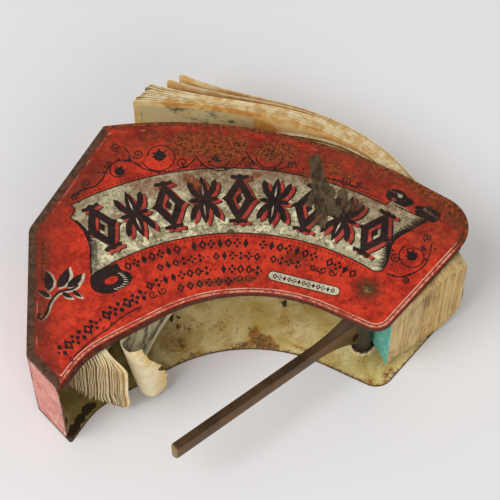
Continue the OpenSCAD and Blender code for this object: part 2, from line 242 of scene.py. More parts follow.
def colour(red, green, blue):
    """A colour as it is read off a screen, made linear."""
    shares = [v / 255 for v in (red, green, blue)]
    return tuple(v / 12.92 if v <= 0.04045 else ((v + 0.055) / 1.055) ** 2.4 for v in shares) + (1.0,)


def node(tree, kind, **settings):
    made = tree.nodes.new("ShaderNode" + kind)
    for key, value in settings.items():
        setattr(made, key, value)
    return made


class Tone:
    """A number or a colour inside a material, which can be added to, taken off and multiplied."""

    def __init__(self, tree, socket):
        self.tree, self.socket = tree, socket

    def reckon(self, operation, a, b):
        made = node(self.tree, "Math", operation=operation)
        plug(made.inputs[0], a)
        plug(made.inputs[1], b)
        return Tone(self.tree, made.outputs[0])

    def __add__(self, other):
        return self.reckon("ADD", self, other)

    def __mul__(self, other):
        return self.reckon("MULTIPLY", self, other)

    def __sub__(self, other):
        return self.reckon("SUBTRACT", self, other)

    def __rsub__(self, other):
        return self.reckon("SUBTRACT", other, self)

    def step(self, low, high, to_low=0.0, to_high=1.0):
        """Goes softly from to_low to to_high while this tone goes from low to high."""
        made = node(self.tree, "MapRange", interpolation_type="SMOOTHSTEP")
        for socket, value in zip(made.inputs, (self, low, high, to_low, to_high)):
            plug(socket, value)
        return Tone(self.tree, made.outputs["Result"])

    def fall(self, low, high, top=1.0):
        return self.step(low, high, top, 0.0)

    def band(self, start, full, fade, end):
        """Full between two values of this tone, and nothing outside them."""
        return self.step(start, full) * self.fall(fade, end)


def plug(socket, value):
    """Links a tone to a socket, or sets it to a number or a colour."""
    if isinstance(value, Tone):
        value.tree.links.new(value.socket, socket)
    else:
        socket.default_value = value


def feed(sockets, **values):
    """Feeds sockets by name, where an underscore stands for a space."""
    for title, value in values.items():
        plug(sockets[title.replace("_", " ")], value)


def object_place(tree):
    return Tone(tree, node(tree, "TexCoord").outputs["Object"])


def layer_of(at, name):
    """A piece's layer, in the material that the place belongs to."""
    return Tone(at.tree, node(at.tree, "Attribute", attribute_name=name).outputs["Fac"])


def stretched(at, scale, turn=0.0):
    made = node(at.tree, "Mapping")
    feed(made.inputs, Vector=at, Rotation=(0, 0, math.radians(turn)), Scale=scale)
    return Tone(at.tree, made.outputs["Vector"])


def along_axis(at, axis):
    made = node(at.tree, "SeparateXYZ")
    feed(made.inputs, Vector=at)
    return Tone(at.tree, made.outputs[axis])


def noise(at, scale, detail, rough, warp=0.0):
    made = node(at.tree, "TexNoise")
    feed(made.inputs, Vector=at, Scale=scale, Detail=detail, Roughness=rough, Distortion=warp)
    return Tone(at.tree, made.outputs["Fac"])


def mix(share, under, over, blend="MIX"):
    """Two colours, of which the second takes its share."""
    made = node(share.tree, "Mix", data_type="RGBA", blend_type=blend)
    plug(made.inputs[0], share)
    for socket, tone in ((made.inputs[6], under), (made.inputs[7], over)):
        plug(socket, tone if isinstance(tone, Tone) else colour(*tone))
    return Tone(share.tree, made.outputs[2])


def layered(base, *washes):
    """A colour with washes over it. Each wash is a share and a colour, and may name how it blends."""
    for share, tone, *blend in washes:
        base = mix(share, base, tone, *blend)
    return base


def bump(height, strength, distance):
    made = node(height.tree, "Bump")
    feed(made.inputs, Strength=strength, Distance=distance, Height=height)
    return Tone(height.tree, made.outputs["Normal"])


def new_group(name, inputs, outputs):
    """A node group: its tree, its inputs as tones by name, and its outputs to feed."""
    tree = bpy.data.node_groups.new(name, "ShaderNodeTree")
    for way, titles in (("INPUT", inputs), ("OUTPUT", outputs)):
        for title in titles:
            kind = "NodeSocketColor" if title in ("Color", "Bloom", "Print") else "NodeSocketFloat"
            tree.interface.new_socket(title, in_out=way, socket_type=kind)
    taken = tree.nodes.new("NodeGroupInput").outputs
    return tree, {title: Tone(tree, taken[title]) for title in inputs}, tree.nodes.new("NodeGroupOutput").inputs


def use_group(at, group, **values):
    """Puts a node group in the material that the place belongs to, and gives its outputs as tones."""
    made = node(at.tree, "Group", node_tree=group)
    for title, value in values.items():
        plug(made.inputs[title], value)
    return {socket.name: Tone(at.tree, socket) for socket in made.outputs}


def new_material(name):
    """A material: itself, its shader's sockets and the place on the piece."""
    material = bpy.data.materials.new(name)
    material.use_nodes = True
    tree = material.node_tree
    return material, tree.nodes["Principled BSDF"].inputs, object_place(tree)


# Rust on tinplate: brown pits and orange bloom that break up with the metal's
# own grain, wherever a piece's rust layer says that there is some.
tin_rust, given, out = new_group("tin_rust", ("Amount", "Bloom"), ("Mask", "Color", "Pits"))
at = object_place(tin_rust)
pits = noise(at, 1000, 5, 0.7)
field = noise(at, 210, 6, 0.68, 0.3) * 0.36 + pits * 0.64
over = field - (1.02 - given["Amount"] * 0.8) * 0.78
rust_tone = mix(noise(at, 900, 4, 0.66, 0.2).step(0.4, 0.6), (70, 38, 20), given["Bloom"])
rust_tone = mix(over.step(0.08, 0.26) * 0.8, rust_tone, (56, 38, 24))
feed(out, Mask=over.step(-0.06, 0.06), Color=rust_tone, Pits=pits)

back_plate = copy_of("back_plate", "case_back")
back_outline = cut_edges(back_plate, 0.0)
rule(back_plate, BACK_GRID)
back_points = points_of(back_plate)
back_gap = near_edge(back_points, back_outline)[0]
set_layers(
    back_plate, edge=back_gap, dirt=marks(back_points, BACK_DIRT), gloom=marks(back_points, BACK_PAINTED_SHADE),
    rust=np.maximum(marks(back_points, BACK_RUST), 0.54 * np.clip(1.4 - back_gap / 1.4, 0, 1)),
    boss=np.hypot(*from_axis(back_points).T),
)

lacquered_tin, shader, at = new_material("lacquered_tin")
cloud, stain, speck = noise(at, 55, 5, 0.6, 0.4), noise(at, 130, 4, 0.6, 0.6), noise(at, 900, 3, 0.65)
rusted = layer_of(at, "rust")
rust = use_group(at, tin_rust, Amount=rusted, Bloom=colour(158, 106, 42))
boss = layer_of(at, "boss") + (speck - 0.5) * 2.4
base = layered(
    mix(cloud.step(0.36, 0.64), (222, 210, 158), (196, 175, 100)),
    (stain.step(0.48, 0.7) * 0.6, (170, 142, 62)),
    (rusted.step(0.1, 0.5) * stain.step(0.4, 0.58, 0.05, 0.6), (194, 152, 60)),
    # painted shade: darker olive where the back plate lies in shade
    (layer_of(at, "gloom") * stain.step(0.28, 0.62, 0.5, 1.0), (104, 92, 48)),
    (speck.step(0.56, 0.68) * 0.5, (108, 84, 46)),
    ((layer_of(at, "dirt") + stain * 0.5).step(0.55, 0.75) * 0.95, (38, 28, 18)),
    (boss.fall(4.9, 5.3), (222, 208, 164)),
    (boss.fall(4.3, 4.7), (46, 38, 26)),
    (rust["Mask"] * 0.9, rust["Color"]),
    (layer_of(at, "edge").fall(0.12, 0.5, 0.85), (62, 44, 30)),
)
feed(shader, Base_Color=base, Roughness=rust["Mask"] * 0.49 + 0.36)
feed(shader, Normal=bump(rust["Mask"] * rust["Pits"], 0.5, 0.0003))
back_plate.data.materials.append(lacquered_tin)
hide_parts("back_plate")
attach(back_plate, "case")


# End wall. A strip of the same tin folded onto the plates and soldered; its
# outer face keeps a pink, rubbed print with a light line beside the free edge.
WALL_RUST = [(-107, -40.5, 2.5, 2.5, 0, 0.9), (-119.5, -26.5, 2.0, 2.0, 0, 0.6), (-121, 20, 3, 12, 0, 0.5)]
WALL_OUT, WALL_TOP, HEEL_AT = np.array([-0.669, 0.743]), 41.5, (-106.6, -40.6)
end_wall = copy_of("end_wall", "case_end_wall")
rule(end_wall, 1.2 * MM)
form = bmesh.new()
form.from_mesh(end_wall.data)
for height in np.arange(1.6, 41, 1.4):
    slice_form(form, 2, height * MM)
form.to_mesh(end_wall.data)
form.free()
wall_points = points_of(end_wall)
wall_height = wall_points[:, 2] / MM
heel_gap = (from_axis(wall_points) - HEEL_AT) @ WALL_OUT
high_bow = 3.4 * np.clip((wall_height - 25) / 16, 0, 1) ** 2
low_bow = 3.0 * np.clip(1 - wall_height / 9, 0, 1) ** 2
wall_points[:, :2] += (np.clip(1 - heel_gap / 9, 0, 1) * (high_bow + low_bow))[:, None] * WALL_OUT * MM
end_wall.data.vertices.foreach_set("co", wall_points.ravel())
edge_rust = 0.72 * np.clip(1.4 - np.minimum(wall_height, WALL_TOP - wall_height) / 2.0, 0, 1)
set_layers(end_wall, rust=np.maximum(marks(wall_points, WALL_RUST) * 0.8, edge_rust), heel=heel_gap)

faded_tin, shader, at = new_material("faded_tin")
cloud, rubbed = noise(at, 130, 6, 0.68, 0.6), noise(at, 300, 5, 0.7, 0.5)
streak = noise(stretched(at, (1, 1, 0.25)), 420, 4, 0.6)
heel = layer_of(at, "heel")
rust = use_group(at, tin_rust, Amount=layer_of(at, "rust"), Bloom=colour(120, 66, 44))
base = layered(
    mix(cloud.step(0.35, 0.65), (216, 136, 118), (188, 88, 76)),
    (streak.step(0.52, 0.7) * 0.6, (136, 84, 78)),
    (rubbed.step(0.54, 0.64) * 0.7, (222, 180, 160)),
    (rubbed.fall(0.34, 0.42) * 0.6, (122, 84, 78)),
    (heel.band(2.6, 2.85, 3.3, 3.6) * 0.6, (150, 72, 64)),
    (heel.band(1.9, 2.15, 2.5, 2.75) * 0.8, (228, 186, 164)),
    (rust["Mask"], rust["Color"]),
)
feed(shader, Base_Color=base, Roughness=rust["Mask"] * 0.43 + 0.42, Normal=bump(rust["Pits"], 0.15, 0.0002))
end_wall.data.materials.append(faded_tin)
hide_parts("end_wall")
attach(end_wall, "case")


# Lever. One brass casting: a barrel that turns on the rivet, an arm that
# flares into it, a plate for the leaf block, all dark with handling and age.
LEVER_WAY = math.radians(217.9)
lever = copy_of("lever", "squeeze_lever")
select_only(lever)
edge_soften = lever.modifiers.new("soft edges", "BEVEL")
edge_soften.width, edge_soften.segments = 0.3 * MM, 3
edge_soften.limit_method, edge_soften.angle_limit = "ANGLE", math.radians(38)
bpy.ops.object.modifier_apply(modifier=edge_soften.name)
bpy.ops.object.shade_smooth_by_angle(angle=math.radians(35))
lever_points = points_of(lever)
along = from_axis(lever_points) @ (math.cos(LEVER_WAY), math.sin(LEVER_WAY))
set_layers(lever, along=along)
arm_top = lever_points[along > 40][:, 2].max()

dark_brass, shader, at = new_material("dark_brass")
cloud, fine, along_arm = noise(at, 110, 5, 0.6, 0.4), noise(at, 1500, 3, 0.6), layer_of(at, "along")
base = layered(
    mix(cloud.step(0.35, 0.65), (72, 48, 22), (107, 76, 42)),
    (fine.step(0.58, 0.7) * 0.5, (112, 88, 60)),
    # painted shade: the arm's top face, and all that stands above it, is made darker
    (along_axis(at, "Z").step(arm_top - 0.3 * MM, arm_top - 0.1 * MM) * 0.6, (34, 24, 14)),
    (along_arm.fall(3.0, 6.0) * 0.8, (52, 56, 46)),
    (along_arm.step(85.6, 87.0) * 0.7, (158, 132, 90)),
)
feed(shader, Base_Color=base, Roughness=cloud.step(0.3, 0.7, 0.38, 0.6), Metallic=0.12, Specular_IOR_Level=0.2)
feed(shader, Normal=bump(cloud + fine * 0.4, 0.25, 0.0003))
lever.data.materials.append(dark_brass)
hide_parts("lever")
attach(lever, "lever_assembly")


# Rivet. The lever's axle, headed over on both plates, with its tin plating
# gone and a ring of rust that has crept out under the printed face.
rivet = copy_of("pivot_rivet", "lever_rivet")
select_only(rivet)
bpy.ops.object.shade_smooth_by_angle(angle=math.radians(40))
tarnished_brass, shader, at = new_material("tarnished_brass")
fine = noise(at, 900, 4, 0.6)
feed(shader, Base_Color=mix(fine.step(0.4, 0.62), (122, 92, 46), (64, 48, 28)), Metallic=0.6)
feed(shader, Roughness=fine.step(0.3, 0.7, 0.35, 0.65), Normal=bump(fine, 0.35, 0.0002))
rivet.data.materials.append(tarnished_brass)
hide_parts("pivot_rivet")
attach(rivet, "case")


# Cover paper and binding wire. A turquoise textured paper faces the block on
# the barrel's side, and a dull wire staple holds all the leaves to the lever.
turquoise_paper, shader, at = new_material("turquoise_paper")
cloud, pebble = noise(at, 300, 5, 0.65), noise(at, 1000, 4, 0.7)
base = mix(cloud.step(0.35, 0.65), (84, 178, 160), (132, 200, 180))
base = mix(pebble.step(0.5, 0.6) * 0.65, base, (40, 112, 100))
feed(shader, Base_Color=base, Roughness=0.75, Normal=bump(pebble, 0.6, 0.0003))
nodes["cover_paper"].data.materials.clear()
nodes["cover_paper"].data.materials.append(turquoise_paper)

dull_wire, shader, at = new_material("dull_wire")
fine = noise(at, 1200, 3, 0.6)
base = mix(fine.step(0.45, 0.65), (140, 132, 120), (92, 70, 52))
feed(shader, Base_Color=base, Metallic=0.8, Roughness=fine.step(0.3, 0.7, 0.3, 0.6))
nodes["binding_wire"].data.materials.clear()
nodes["binding_wire"].data.materials.append(dull_wire)


# Leaf block. Thin paper leaves, each with a grey picture on one face, bound at
# one end as a thick stack. Two or three leaves stand for each packet of the CAD
# model; they fan apart a little, with soft corners, waves and foxed edges.
LEAF_COUNT = 35
BUNDLES = {"torn": (0, 1), "caught": (1, 15), "near": (15, 26), "sprung": (26, 33), "loose": (33, LEAF_COUNT)}
BLOCK_THICK = 34.0
PITCH = BLOCK_THICK / LEAF_COUNT
BARREL_R, COVER_GAP, COVER_T = 3.35, 0.03, 0.28
BLOCK_IN = BARREL_R + 2 * COVER_GAP + COVER_T
BLOCK_BACK, BLOCK_SKEW, BOUND_LEN = 12.4, math.radians(11), 24.0
LEAF_LOW, LEAF_HIGH = 2.3, 39.7
MIDDLE_UP, HALF_UP = 21, 18.7
HIGH_STEPS, BACK_ROWS, FREE_ROWS, TIP_ROWS, LINE_STEPS = 10, 3, 34, 8, 26
EASE_LEN, TIP_LEN, LEAN_LEN, LEAN = 10.0, 6.0, 18.0, (0.72, -1.2)
ROOM_ALONE, ROOM_LEAST, ROOM_MOST = 1.2, 0.45, 1.6
WORN_FROM, WORN_STEP = 27, 0.75
SLOW_WAVE, QUICK_WAVE, SHEET_WAVE = 0.16, 0.37, 0.5
PAPER_LAYERS = ("end_gap", "edge_gap", "tone", "face", "bound", "inner")
PACKETS = {
    "caught": dict(sheets=2, tight=0.62, wave=0.42, short=2.6, corner=(3.4, 8.0), thick=0.38, tone=(0.02, 0.25)),
    "near": dict(sheets=3, tight=0.7, wave=0.4, short=0.8, corner=(2.0, 3.4), thick=0.2, tone=(0.4, 0.8)),
    "sprung": dict(sheets=3, tight=0.9, wave=0.5, short=1.6, corner=(2.0, 3.6), thick=0.24, tone=(0.3, 0.9)),
    "loose": dict(sheets=2, tight=0.4, wave=0.8, short=2.5, corner=(2.0, 4.0), thick=0.12, tone=(0.15, 0.35)),
}


def heading(angle):
    return np.array([math.cos(math.radians(angle)), math.sin(math.radians(angle))])


def way_of(run):
    return math.degrees(math.atan2(run[1], run[0]))


# Where each bundle's first and last leaf ends: the end, its heading, the heading
# at the root, and how far the leaf runs straight at the root and at the end.
ALONG, ACROSS = heading(116), heading(26)
BEND, SIDE, CROWN = np.array([-97.9, -26.5]), np.array([-121.6, 24.7]), np.array([-96.5, 69.9])
ENDS = {
    "caught": ((BEND + (1.2, 15.5), 272, 116, 36, 28), (BEND + (-15, 21), 264, 116, 40, 32)),
    "near": ((SIDE + (30, 16), 205, 114, 36, 40), (CROWN + (16.7, -7.7), 196, 101, 48, 42)),
    "sprung": ((CROWN + (9.9, 14.4), 174, 103, 52, 42), (CROWN + (15.5, 21.6), 160, 108.5, 58, 40)),
    "loose": ((CROWN + (22, 24.6), 155, 108.5, 56, 37), (CROWN + (27, 27), 150, 108.5, 54, 34)),
    "torn": ((BEND + (13.6, 9.6), 250, 115, 32, 38),) * 2,
}
TIPS = ((BEND + (9.5, -3.5), 298, 7, 6), (BEND + (-6.7, 3.2), 292, 8, 5))
FRONT_CURL, FRONT_CURL_TURN = np.array([3.6, 0.2]), 46


def leaf_place(index):
    """Bundle of a leaf and how far along the bundle it is, from 0 to 1."""
    for bundle, (first, past) in BUNDLES.items():
        if index < past:
            return bundle, (index - first) / max(1, past - 1 - first)


def between(first, last, share):
    return [np.asarray(a) + (np.asarray(b) - np.asarray(a)) * share for a, b in zip(first, last)]


def bend_line(start, way, pull, end, end_way, end_pull, steps):
    second, third = start + pull * heading(way), end - end_pull * heading(end_way)
    t = np.linspace(0, 1, steps)[:, None]
    return (1 - t) ** 3 * start + 3 * (1 - t) ** 2 * t * second + 3 * (1 - t) * t * t * third + t ** 3 * end


def leaf_line(index, steps):
    """Where a leaf's bound end starts, and its free part seen from above, from the root to the end."""
    bundle, share = leaf_place(index)
    end, way, root_way, pull, end_pull = between(*ENDS[bundle], share)
    stack = BLOCK_IN + PITCH * (index + 0.5)
    back = -BLOCK_BACK + math.tan(BLOCK_SKEW) * (stack - BLOCK_IN)
    root = ACROSS * stack + ALONG * (back + BOUND_LEN)
    line = bend_line(root, root_way, pull, end, way, end_pull, steps)
    if bundle == "caught":
        tip, tip_way, pull, end_pull = between(*TIPS, share)
        curl = max(0.0, 1 - (index - 1) / 2.5)
        tip, tip_way = tip + curl * FRONT_CURL, tip_way + FRONT_CURL_TURN * curl
        line = np.concatenate([line, bend_line(end, way, pull, tip, tip_way, end_pull, steps // 2)[1:]])
    return root - ALONG * BOUND_LEN, line


def length_along(line):
    return np.concatenate([[0], np.cumsum(np.linalg.norm(np.diff(line, axis=0), axis=1))])


def sides_of(line):
    """Which way is square to a line, on its left, at each of its points."""
    run = np.gradient(line, axis=0)
    run /= np.linalg.norm(run, axis=1, keepdims=True) + 1e-9
    return np.stack([-run[:, 1], run[:, 0]], 1)


def at_length(s, length, line):
    return np.array([np.interp(s, length, line[:, 0]), np.interp(s, length, line[:, 1])])


def add_sheet(form, middle, normal, thick, **numbers):
    """Adds one closed thin leaf to a form: its middle surface moved half its thickness each way, and a rim."""
    points, faces, layers = form
    rows, columns = middle.shape[:2]
    base = len(points)
    for side in (1, -1):
        shell = middle + normal * (thick[:, None, None] / 2 * side)
        points += [place(*p) for p in shell.reshape(-1, 3)]
        for title in PAPER_LAYERS:
            value = numbers[title] if side > 0 or title != "face" else 0.0
            layers[title] += list(np.broadcast_to(value, (rows, columns)).ravel())
    spot = lambda s, i, j: base + s * rows * columns + i * columns + j
    for i in range(rows - 1):
        for j in range(columns - 1):
            faces.append((spot(0, i, j), spot(0, i + 1, j), spot(0, i + 1, j + 1), spot(0, i, j + 1)))
            faces.append((spot(1, i, j), spot(1, i, j + 1), spot(1, i + 1, j + 1), spot(1, i + 1, j)))
        for j in (0, columns - 1):
            faces.append((spot(0, i, j), spot(0, i + 1, j), spot(1, i + 1, j), spot(1, i, j)))
    for j in range(columns - 1):
        for i in (0, rows - 1):
            faces.append((spot(0, i, j), spot(0, i, j + 1), spot(1, i, j + 1), spot(1, i, j)))


def paper_piece(name, form):
    points, faces, layers = form
    mesh = bpy.data.meshes.new(name)
    mesh.from_pydata(points, [], faces)
    piece = linked(name, mesh)
    set_layers(piece, **layers)
    open_edit(piece)
    bpy.ops.mesh.normals_make_consistent(inside=False)
    bpy.ops.object.mode_set(mode="OBJECT")
    bpy.ops.object.shade_smooth_by_angle(angle=math.radians(40))
    return piece


rng = random.Random(7)


def leaf_packet(index, name):
    """All the leaves that one CAD packet stands for, as one piece."""
    bundle, share = leaf_place(index)
    kind, caught = PACKETS[bundle], bundle == "caught"
    sheets = kind["sheets"]
    bound_back, line = leaf_line(index, LINE_STEPS)
    length, side = length_along(line), sides_of(line)
    room = []
    for other in (index - 1, index + 1):
        if 0 < other < LEAF_COUNT and leaf_place(other)[0] == bundle:
            beside = leaf_line(other, 120)[1]
            room.append(np.array([np.min(np.hypot(*(beside - p).T)) for p in line]))
    room = np.clip(np.min(room, axis=0) if room else np.full(len(line), ROOM_ALONE), ROOM_LEAST, ROOM_MOST)
    form = ([], [], {title: [] for title in PAPER_LAYERS})
    count = BACK_ROWS + FREE_ROWS
    for k in range(sheets):
        spread = k - (sheets - 1) / 2
        tone, cut_back = rng.uniform(*kind["tone"]), rng.uniform(0, 0.45)
        short = rng.uniform(0, kind["short"]) * (0.15 if caught and k == 0 else 1)
        low_off, high_off, corner = rng.uniform(0, 0.4), rng.uniform(0, 0.4), rng.uniform(*kind["corner"])
        wobble = rng.uniform(-1, 1)
        reach = length[-1] - short
        tip_stops = reach - TIP_LEN * (1 - np.linspace(0, 1, TIP_ROWS)) ** 1.5
        free_stops = np.linspace(0, reach - TIP_LEN, FREE_ROWS - TIP_ROWS, endpoint=False)
        stops = np.concatenate([np.zeros(BACK_ROWS), free_stops, tip_stops])
        middle, normal = np.zeros((count, HIGH_STEPS, 3)), np.zeros((count, HIGH_STEPS, 3))
        thick, bound, edge_gap = np.zeros(count), np.zeros((count, 1)), np.zeros((count, HIGH_STEPS))
        for i, s in enumerate(stops):
            ease = np.clip(s / EASE_LEN, 0, 1)
            centre, worn = at_length(s, length, line), 0.0
            if i < BACK_ROWS:
                centre = bound_back + ALONG * (cut_back + (BOUND_LEN - cut_back) * i / BACK_ROWS)
                worn = max(0, index - WORN_FROM) * WORN_STEP * (1 - i / BACK_ROWS) ** 2
            gap = PITCH / sheets * (1 - ease) + ease * kind["tight"] * np.interp(s, length, room) / sheets
            away = -ACROSS * (1 - ease) + ease * at_length(s, length, side)
            away = away / np.linalg.norm(away)
            trim = max(0.0, corner - (reach - s))
            inset = corner - math.sqrt(max(corner * corner - trim * trim, 0.0))
            z = np.linspace(LEAF_LOW + low_off + inset + worn, LEAF_HIGH - high_off - inset - worn * 0.3, HIGH_STEPS)
            slow = np.sin(z * SLOW_WAVE + index * 0.23 + s * 0.05)
            quick = np.sin(z * QUICK_WAVE + index * 0.4 + 1.0 + s * 0.11)
            sway = kind["wave"] * (slow + 0.5 * quick) + 0.05 * wobble * np.sin(z * SHEET_WAVE + k)
            shift = sway * (s / length[-1]) ** 2 - spread * gap
            lean = np.clip((s - length[-1] + LEAN_LEN) / LEAN_LEN, 0, 1) ** 2 * (1 - share) ** 2 if caught else 0.0
            lean = lean * (z - MIDDLE_UP) / HALF_UP
            x, y = (centre[axis] + away[axis] * shift + LEAN[axis] * lean for axis in (0, 1))
            middle[i] = np.stack([x, y, z], 1)
            normal[i, :, :2] = away
            free_thick = kind["thick"] * (1.25 - 0.75 * share if caught else 1.0)
            thick[i] = (PITCH / sheets - 0.02) * (1 - ease) + free_thick * ease
            bound[i] = 1 - ease
            edge_gap[i] = np.minimum(z - z[0], z[-1] - z)
        front = k == 0 and index == BUNDLES[bundle][0] and bundle != "loose"
        # inner sets the painted shade along the leaf's edges: none on a bundle's front leaf, a light browned edge on
        # loose leaves, full inside the block.
        add_sheet(
            form, middle, normal, thick, end_gap=(reach - stops)[:, None], edge_gap=edge_gap, tone=tone, bound=bound,
            face=0.0 if caught else 1.0, inner=0.0 if front else 0.15 if bundle == "loose" else 1.0,
        )
    return paper_piece(name, form)


# The first leaf has come away from the rest: it is rolled up on a slanting line and torn.
TORN_WAY, TORN_TURN = 250.0, 150.0
TORN_COLUMNS, TORN_FLAT, TORN_CURL = 30, 32, 26
TORN_R, TORN_TAPER, TORN_EASE = 4.7, 0.3, 16
TEAR_HEIGHTS = [0, 2.3, 5, 7, 9, 11, 13.5, 15, 17, 18.6, 20, 24, 30, 36, 40]
TEAR_REACH = [0.4, 1.4, 3.2, 5.0, 4.0, 5.8, 4.6, 5.8, 3.8, 1.6, 5.2, 3.2, 1.2, 0.5, 0.2]


def torn_packet(name):
    bound_back, line = leaf_line(0, 30)
    guide = leaf_line(1, 60)[1]
    beside = (guide + sides_of(guide))[guide[:, 0] > -62]
    free_part = bend_line(beside[-1], way_of(beside[-1] - beside[-2]), 10, line[-1], TORN_WAY, 24, LINE_STEPS)
    line = np.concatenate([line[:1], beside[1:], free_part[1:]])
    length, side = length_along(line), sides_of(line)
    z = np.linspace(LEAF_LOW + 0.1, LEAF_HIGH - 0.2, TORN_COLUMNS)
    slant = np.clip((z - MIDDLE_UP) / HALF_UP, -1, 1)
    radius = TORN_R - TORN_TAPER * slant
    roll_at = line[-1] + 4.3 * heading(TORN_WAY + 90)
    centre = np.stack([roll_at[0] - 0.05 - 2.35 * slant, roll_at[1] - 0.3 - 1.05 * slant], 1)
    rolled = radius * math.radians(TORN_TURN)
    total = rolled + np.interp(z, TEAR_HEIGHTS, TEAR_REACH) + 0.35 * np.sin(z * 2.9) * (z < 19)
    roll_start = centre - radius[:, None] * heading(TORN_WAY + 90) - line[-1]
    count = 2 + TORN_FLAT + TORN_CURL
    middle, normal = np.zeros((count, TORN_COLUMNS, 3)), np.zeros((count, TORN_COLUMNS, 3))
    end_gap = np.zeros((count, TORN_COLUMNS))
    for i in range(2 + TORN_FLAT):
        s = length[-1] * max(i - 2, 0) / TORN_FLAT
        out = -ACROSS if i < 2 else at_length(s, length, side)
        at = bound_back + ALONG * (0.3, 12)[i] if i < 2 else at_length(s, length, line)
        middle[i, :, :2] = at + roll_start * np.clip((s - length[-1] + TORN_EASE) / TORN_EASE, 0, 1) ** 2
        middle[i, :, 2] = z
        normal[i, :, :2] = out / np.linalg.norm(out)
        end_gap[i] = length[-1] - s + 14.0
    for i in range(2 + TORN_FLAT, count):
        share = (i - 2 - TORN_FLAT) / (TORN_CURL - 1)
        s = total * share
        past = np.maximum(s - rolled, 0)
        facing = math.radians(TORN_WAY - 90) + np.minimum(s / radius, math.radians(TORN_TURN))
        c, d = np.cos(facing), np.sin(facing)
        middle[i, :, 0] = centre[:, 0] + radius * c - d * past + 0.12 * np.sin(z * 0.9 + i * 0.5)
        middle[i, :, 1] = centre[:, 1] + radius * d + c * past + 0.12 * np.cos(z * 0.7 + i * 0.4)
        middle[i, :, 2] = z + 0.3 * share * np.sin(z * 0.8)
        normal[i, :, 0], normal[i, :, 1] = -c, -d
        end_gap[i] = total - s + 0.4
    bound = (np.arange(count) < 4) * 1.0
    form = ([], [], {title: [] for title in PAPER_LAYERS})
    add_sheet(
        form, middle, normal, np.where(bound > 0, PITCH - 0.1, 0.09), end_gap=end_gap, bound=bound[:, None],
        edge_gap=np.minimum(z - z[0], z[-1] - z), tone=0.0, face=1.0, inner=0.0,
    )
    return paper_piece(name, form)


# Foxed paper: cream stock with its own clouds and fibres, orange-brown where
# air has reached it along the edges, and a soft grey picture on one face.
# The inner layer lays painted shade: dark brown along the edges of leaves inside the block, where the gaps between
# leaves fall dark.
foxed_paper, given, out = new_group("foxed_paper", PAPER_LAYERS, ("Color", "Height"))
at = object_place(foxed_paper)
cloud, fox, fibre = noise(at, 52, 5, 0.6, 0.6), noise(at, 210, 5, 0.66, 0.5), noise(at, 1600, 3, 0.6)
tone, end_gap, edge_gap = given["tone"], given["end_gap"], given["edge_gap"]
edge_near = tone.reckon("MINIMUM", edge_gap, end_gap)
stain = fox * 0.4 + cloud * 0.6 + (tone * 0.1 + edge_near.fall(0.0, 6.0, 0.06))
rim_tone = mix(fox.step(0.4, 0.64) * tone.step(0.0, 0.5, 0.15, 1.0), (236, 218, 174), (210, 164, 92))
ink_level = noise(at, 60, 3, 0.6, 1.2) * 0.72 + noise(at, 340, 4, 0.6, 0.4) * 0.3 + tone.fall(0.0, 0.02, 0.12)
picture = end_gap.band(2.2, 2.7, 46.0, 46.4) * edge_gap.step(3.2, 3.6) * given["face"]
inked = mix(ink_level.step(0.56, 0.66), (196, 188, 146), (62, 66, 54))
cut_paper = layered(
    mix(noise(stretched(at, (1, 1, 0.06)), 1500, 3, 0.55).step(0.34, 0.66), (208, 178, 118), (178, 145, 90)),
    (noise(stretched(at, (1, 1, 0.45)), 110, 6, 0.7, 0.5).step(0.48, 0.64, 0.0, 0.75), (112, 90, 68)),
)
base = layered(
    mix(tone, (238, 224, 186), (230, 194, 120)),
    (stain.step(0.54, 0.6) * tone.step(0.0, 0.5, 0.12, 0.75), (222, 168, 84)),
    (stain.step(0.61, 0.66) * tone.step(0.0, 0.5, 0.15, 0.7), (192, 124, 50)),
    (end_gap.fall(0.0, 9.0, 0.85) * fox.step(0.36, 0.54), (226, 188, 112)),
    # painted shade along the edges of leaves in the block; on loose leaves a light browned edge
    (edge_near.fall(0.05, 2.2, 0.85) * given["inner"], (96, 66, 36)),
    (edge_near.fall(0.0, 0.06) * 0.95, rim_tone),
    (picture * ink_level.step(0.48, 0.6, 0.55, 0.9), inked),
    (fibre.step(0.4, 0.7) * 0.12, (120, 100, 70)),
    (given["bound"] * 0.85, cut_paper),
)
feed(out, Color=base, Height=fox + fibre * 0.5)

leaf_paper, shader, at = new_material("leaf_paper")
paper = use_group(at, foxed_paper, **{title: layer_of(at, title) for title in PAPER_LAYERS})
feed(shader, Base_Color=paper["Color"], Roughness=0.78, Specular_IOR_Level=0.3)
feed(shader, Normal=bump(paper["Height"], 0.25, 0.0002))

for index in range(LEAF_COUNT):
    node_name = "leaf_%02d" % (index + 1) if index else "torn_leaf"
    packet = leaf_packet(index, "paper_" + node_name) if index else torn_packet("paper_torn_leaf")
    packet.data.materials.append(leaf_paper)
    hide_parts(node_name)
    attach(packet, "lever_assembly")


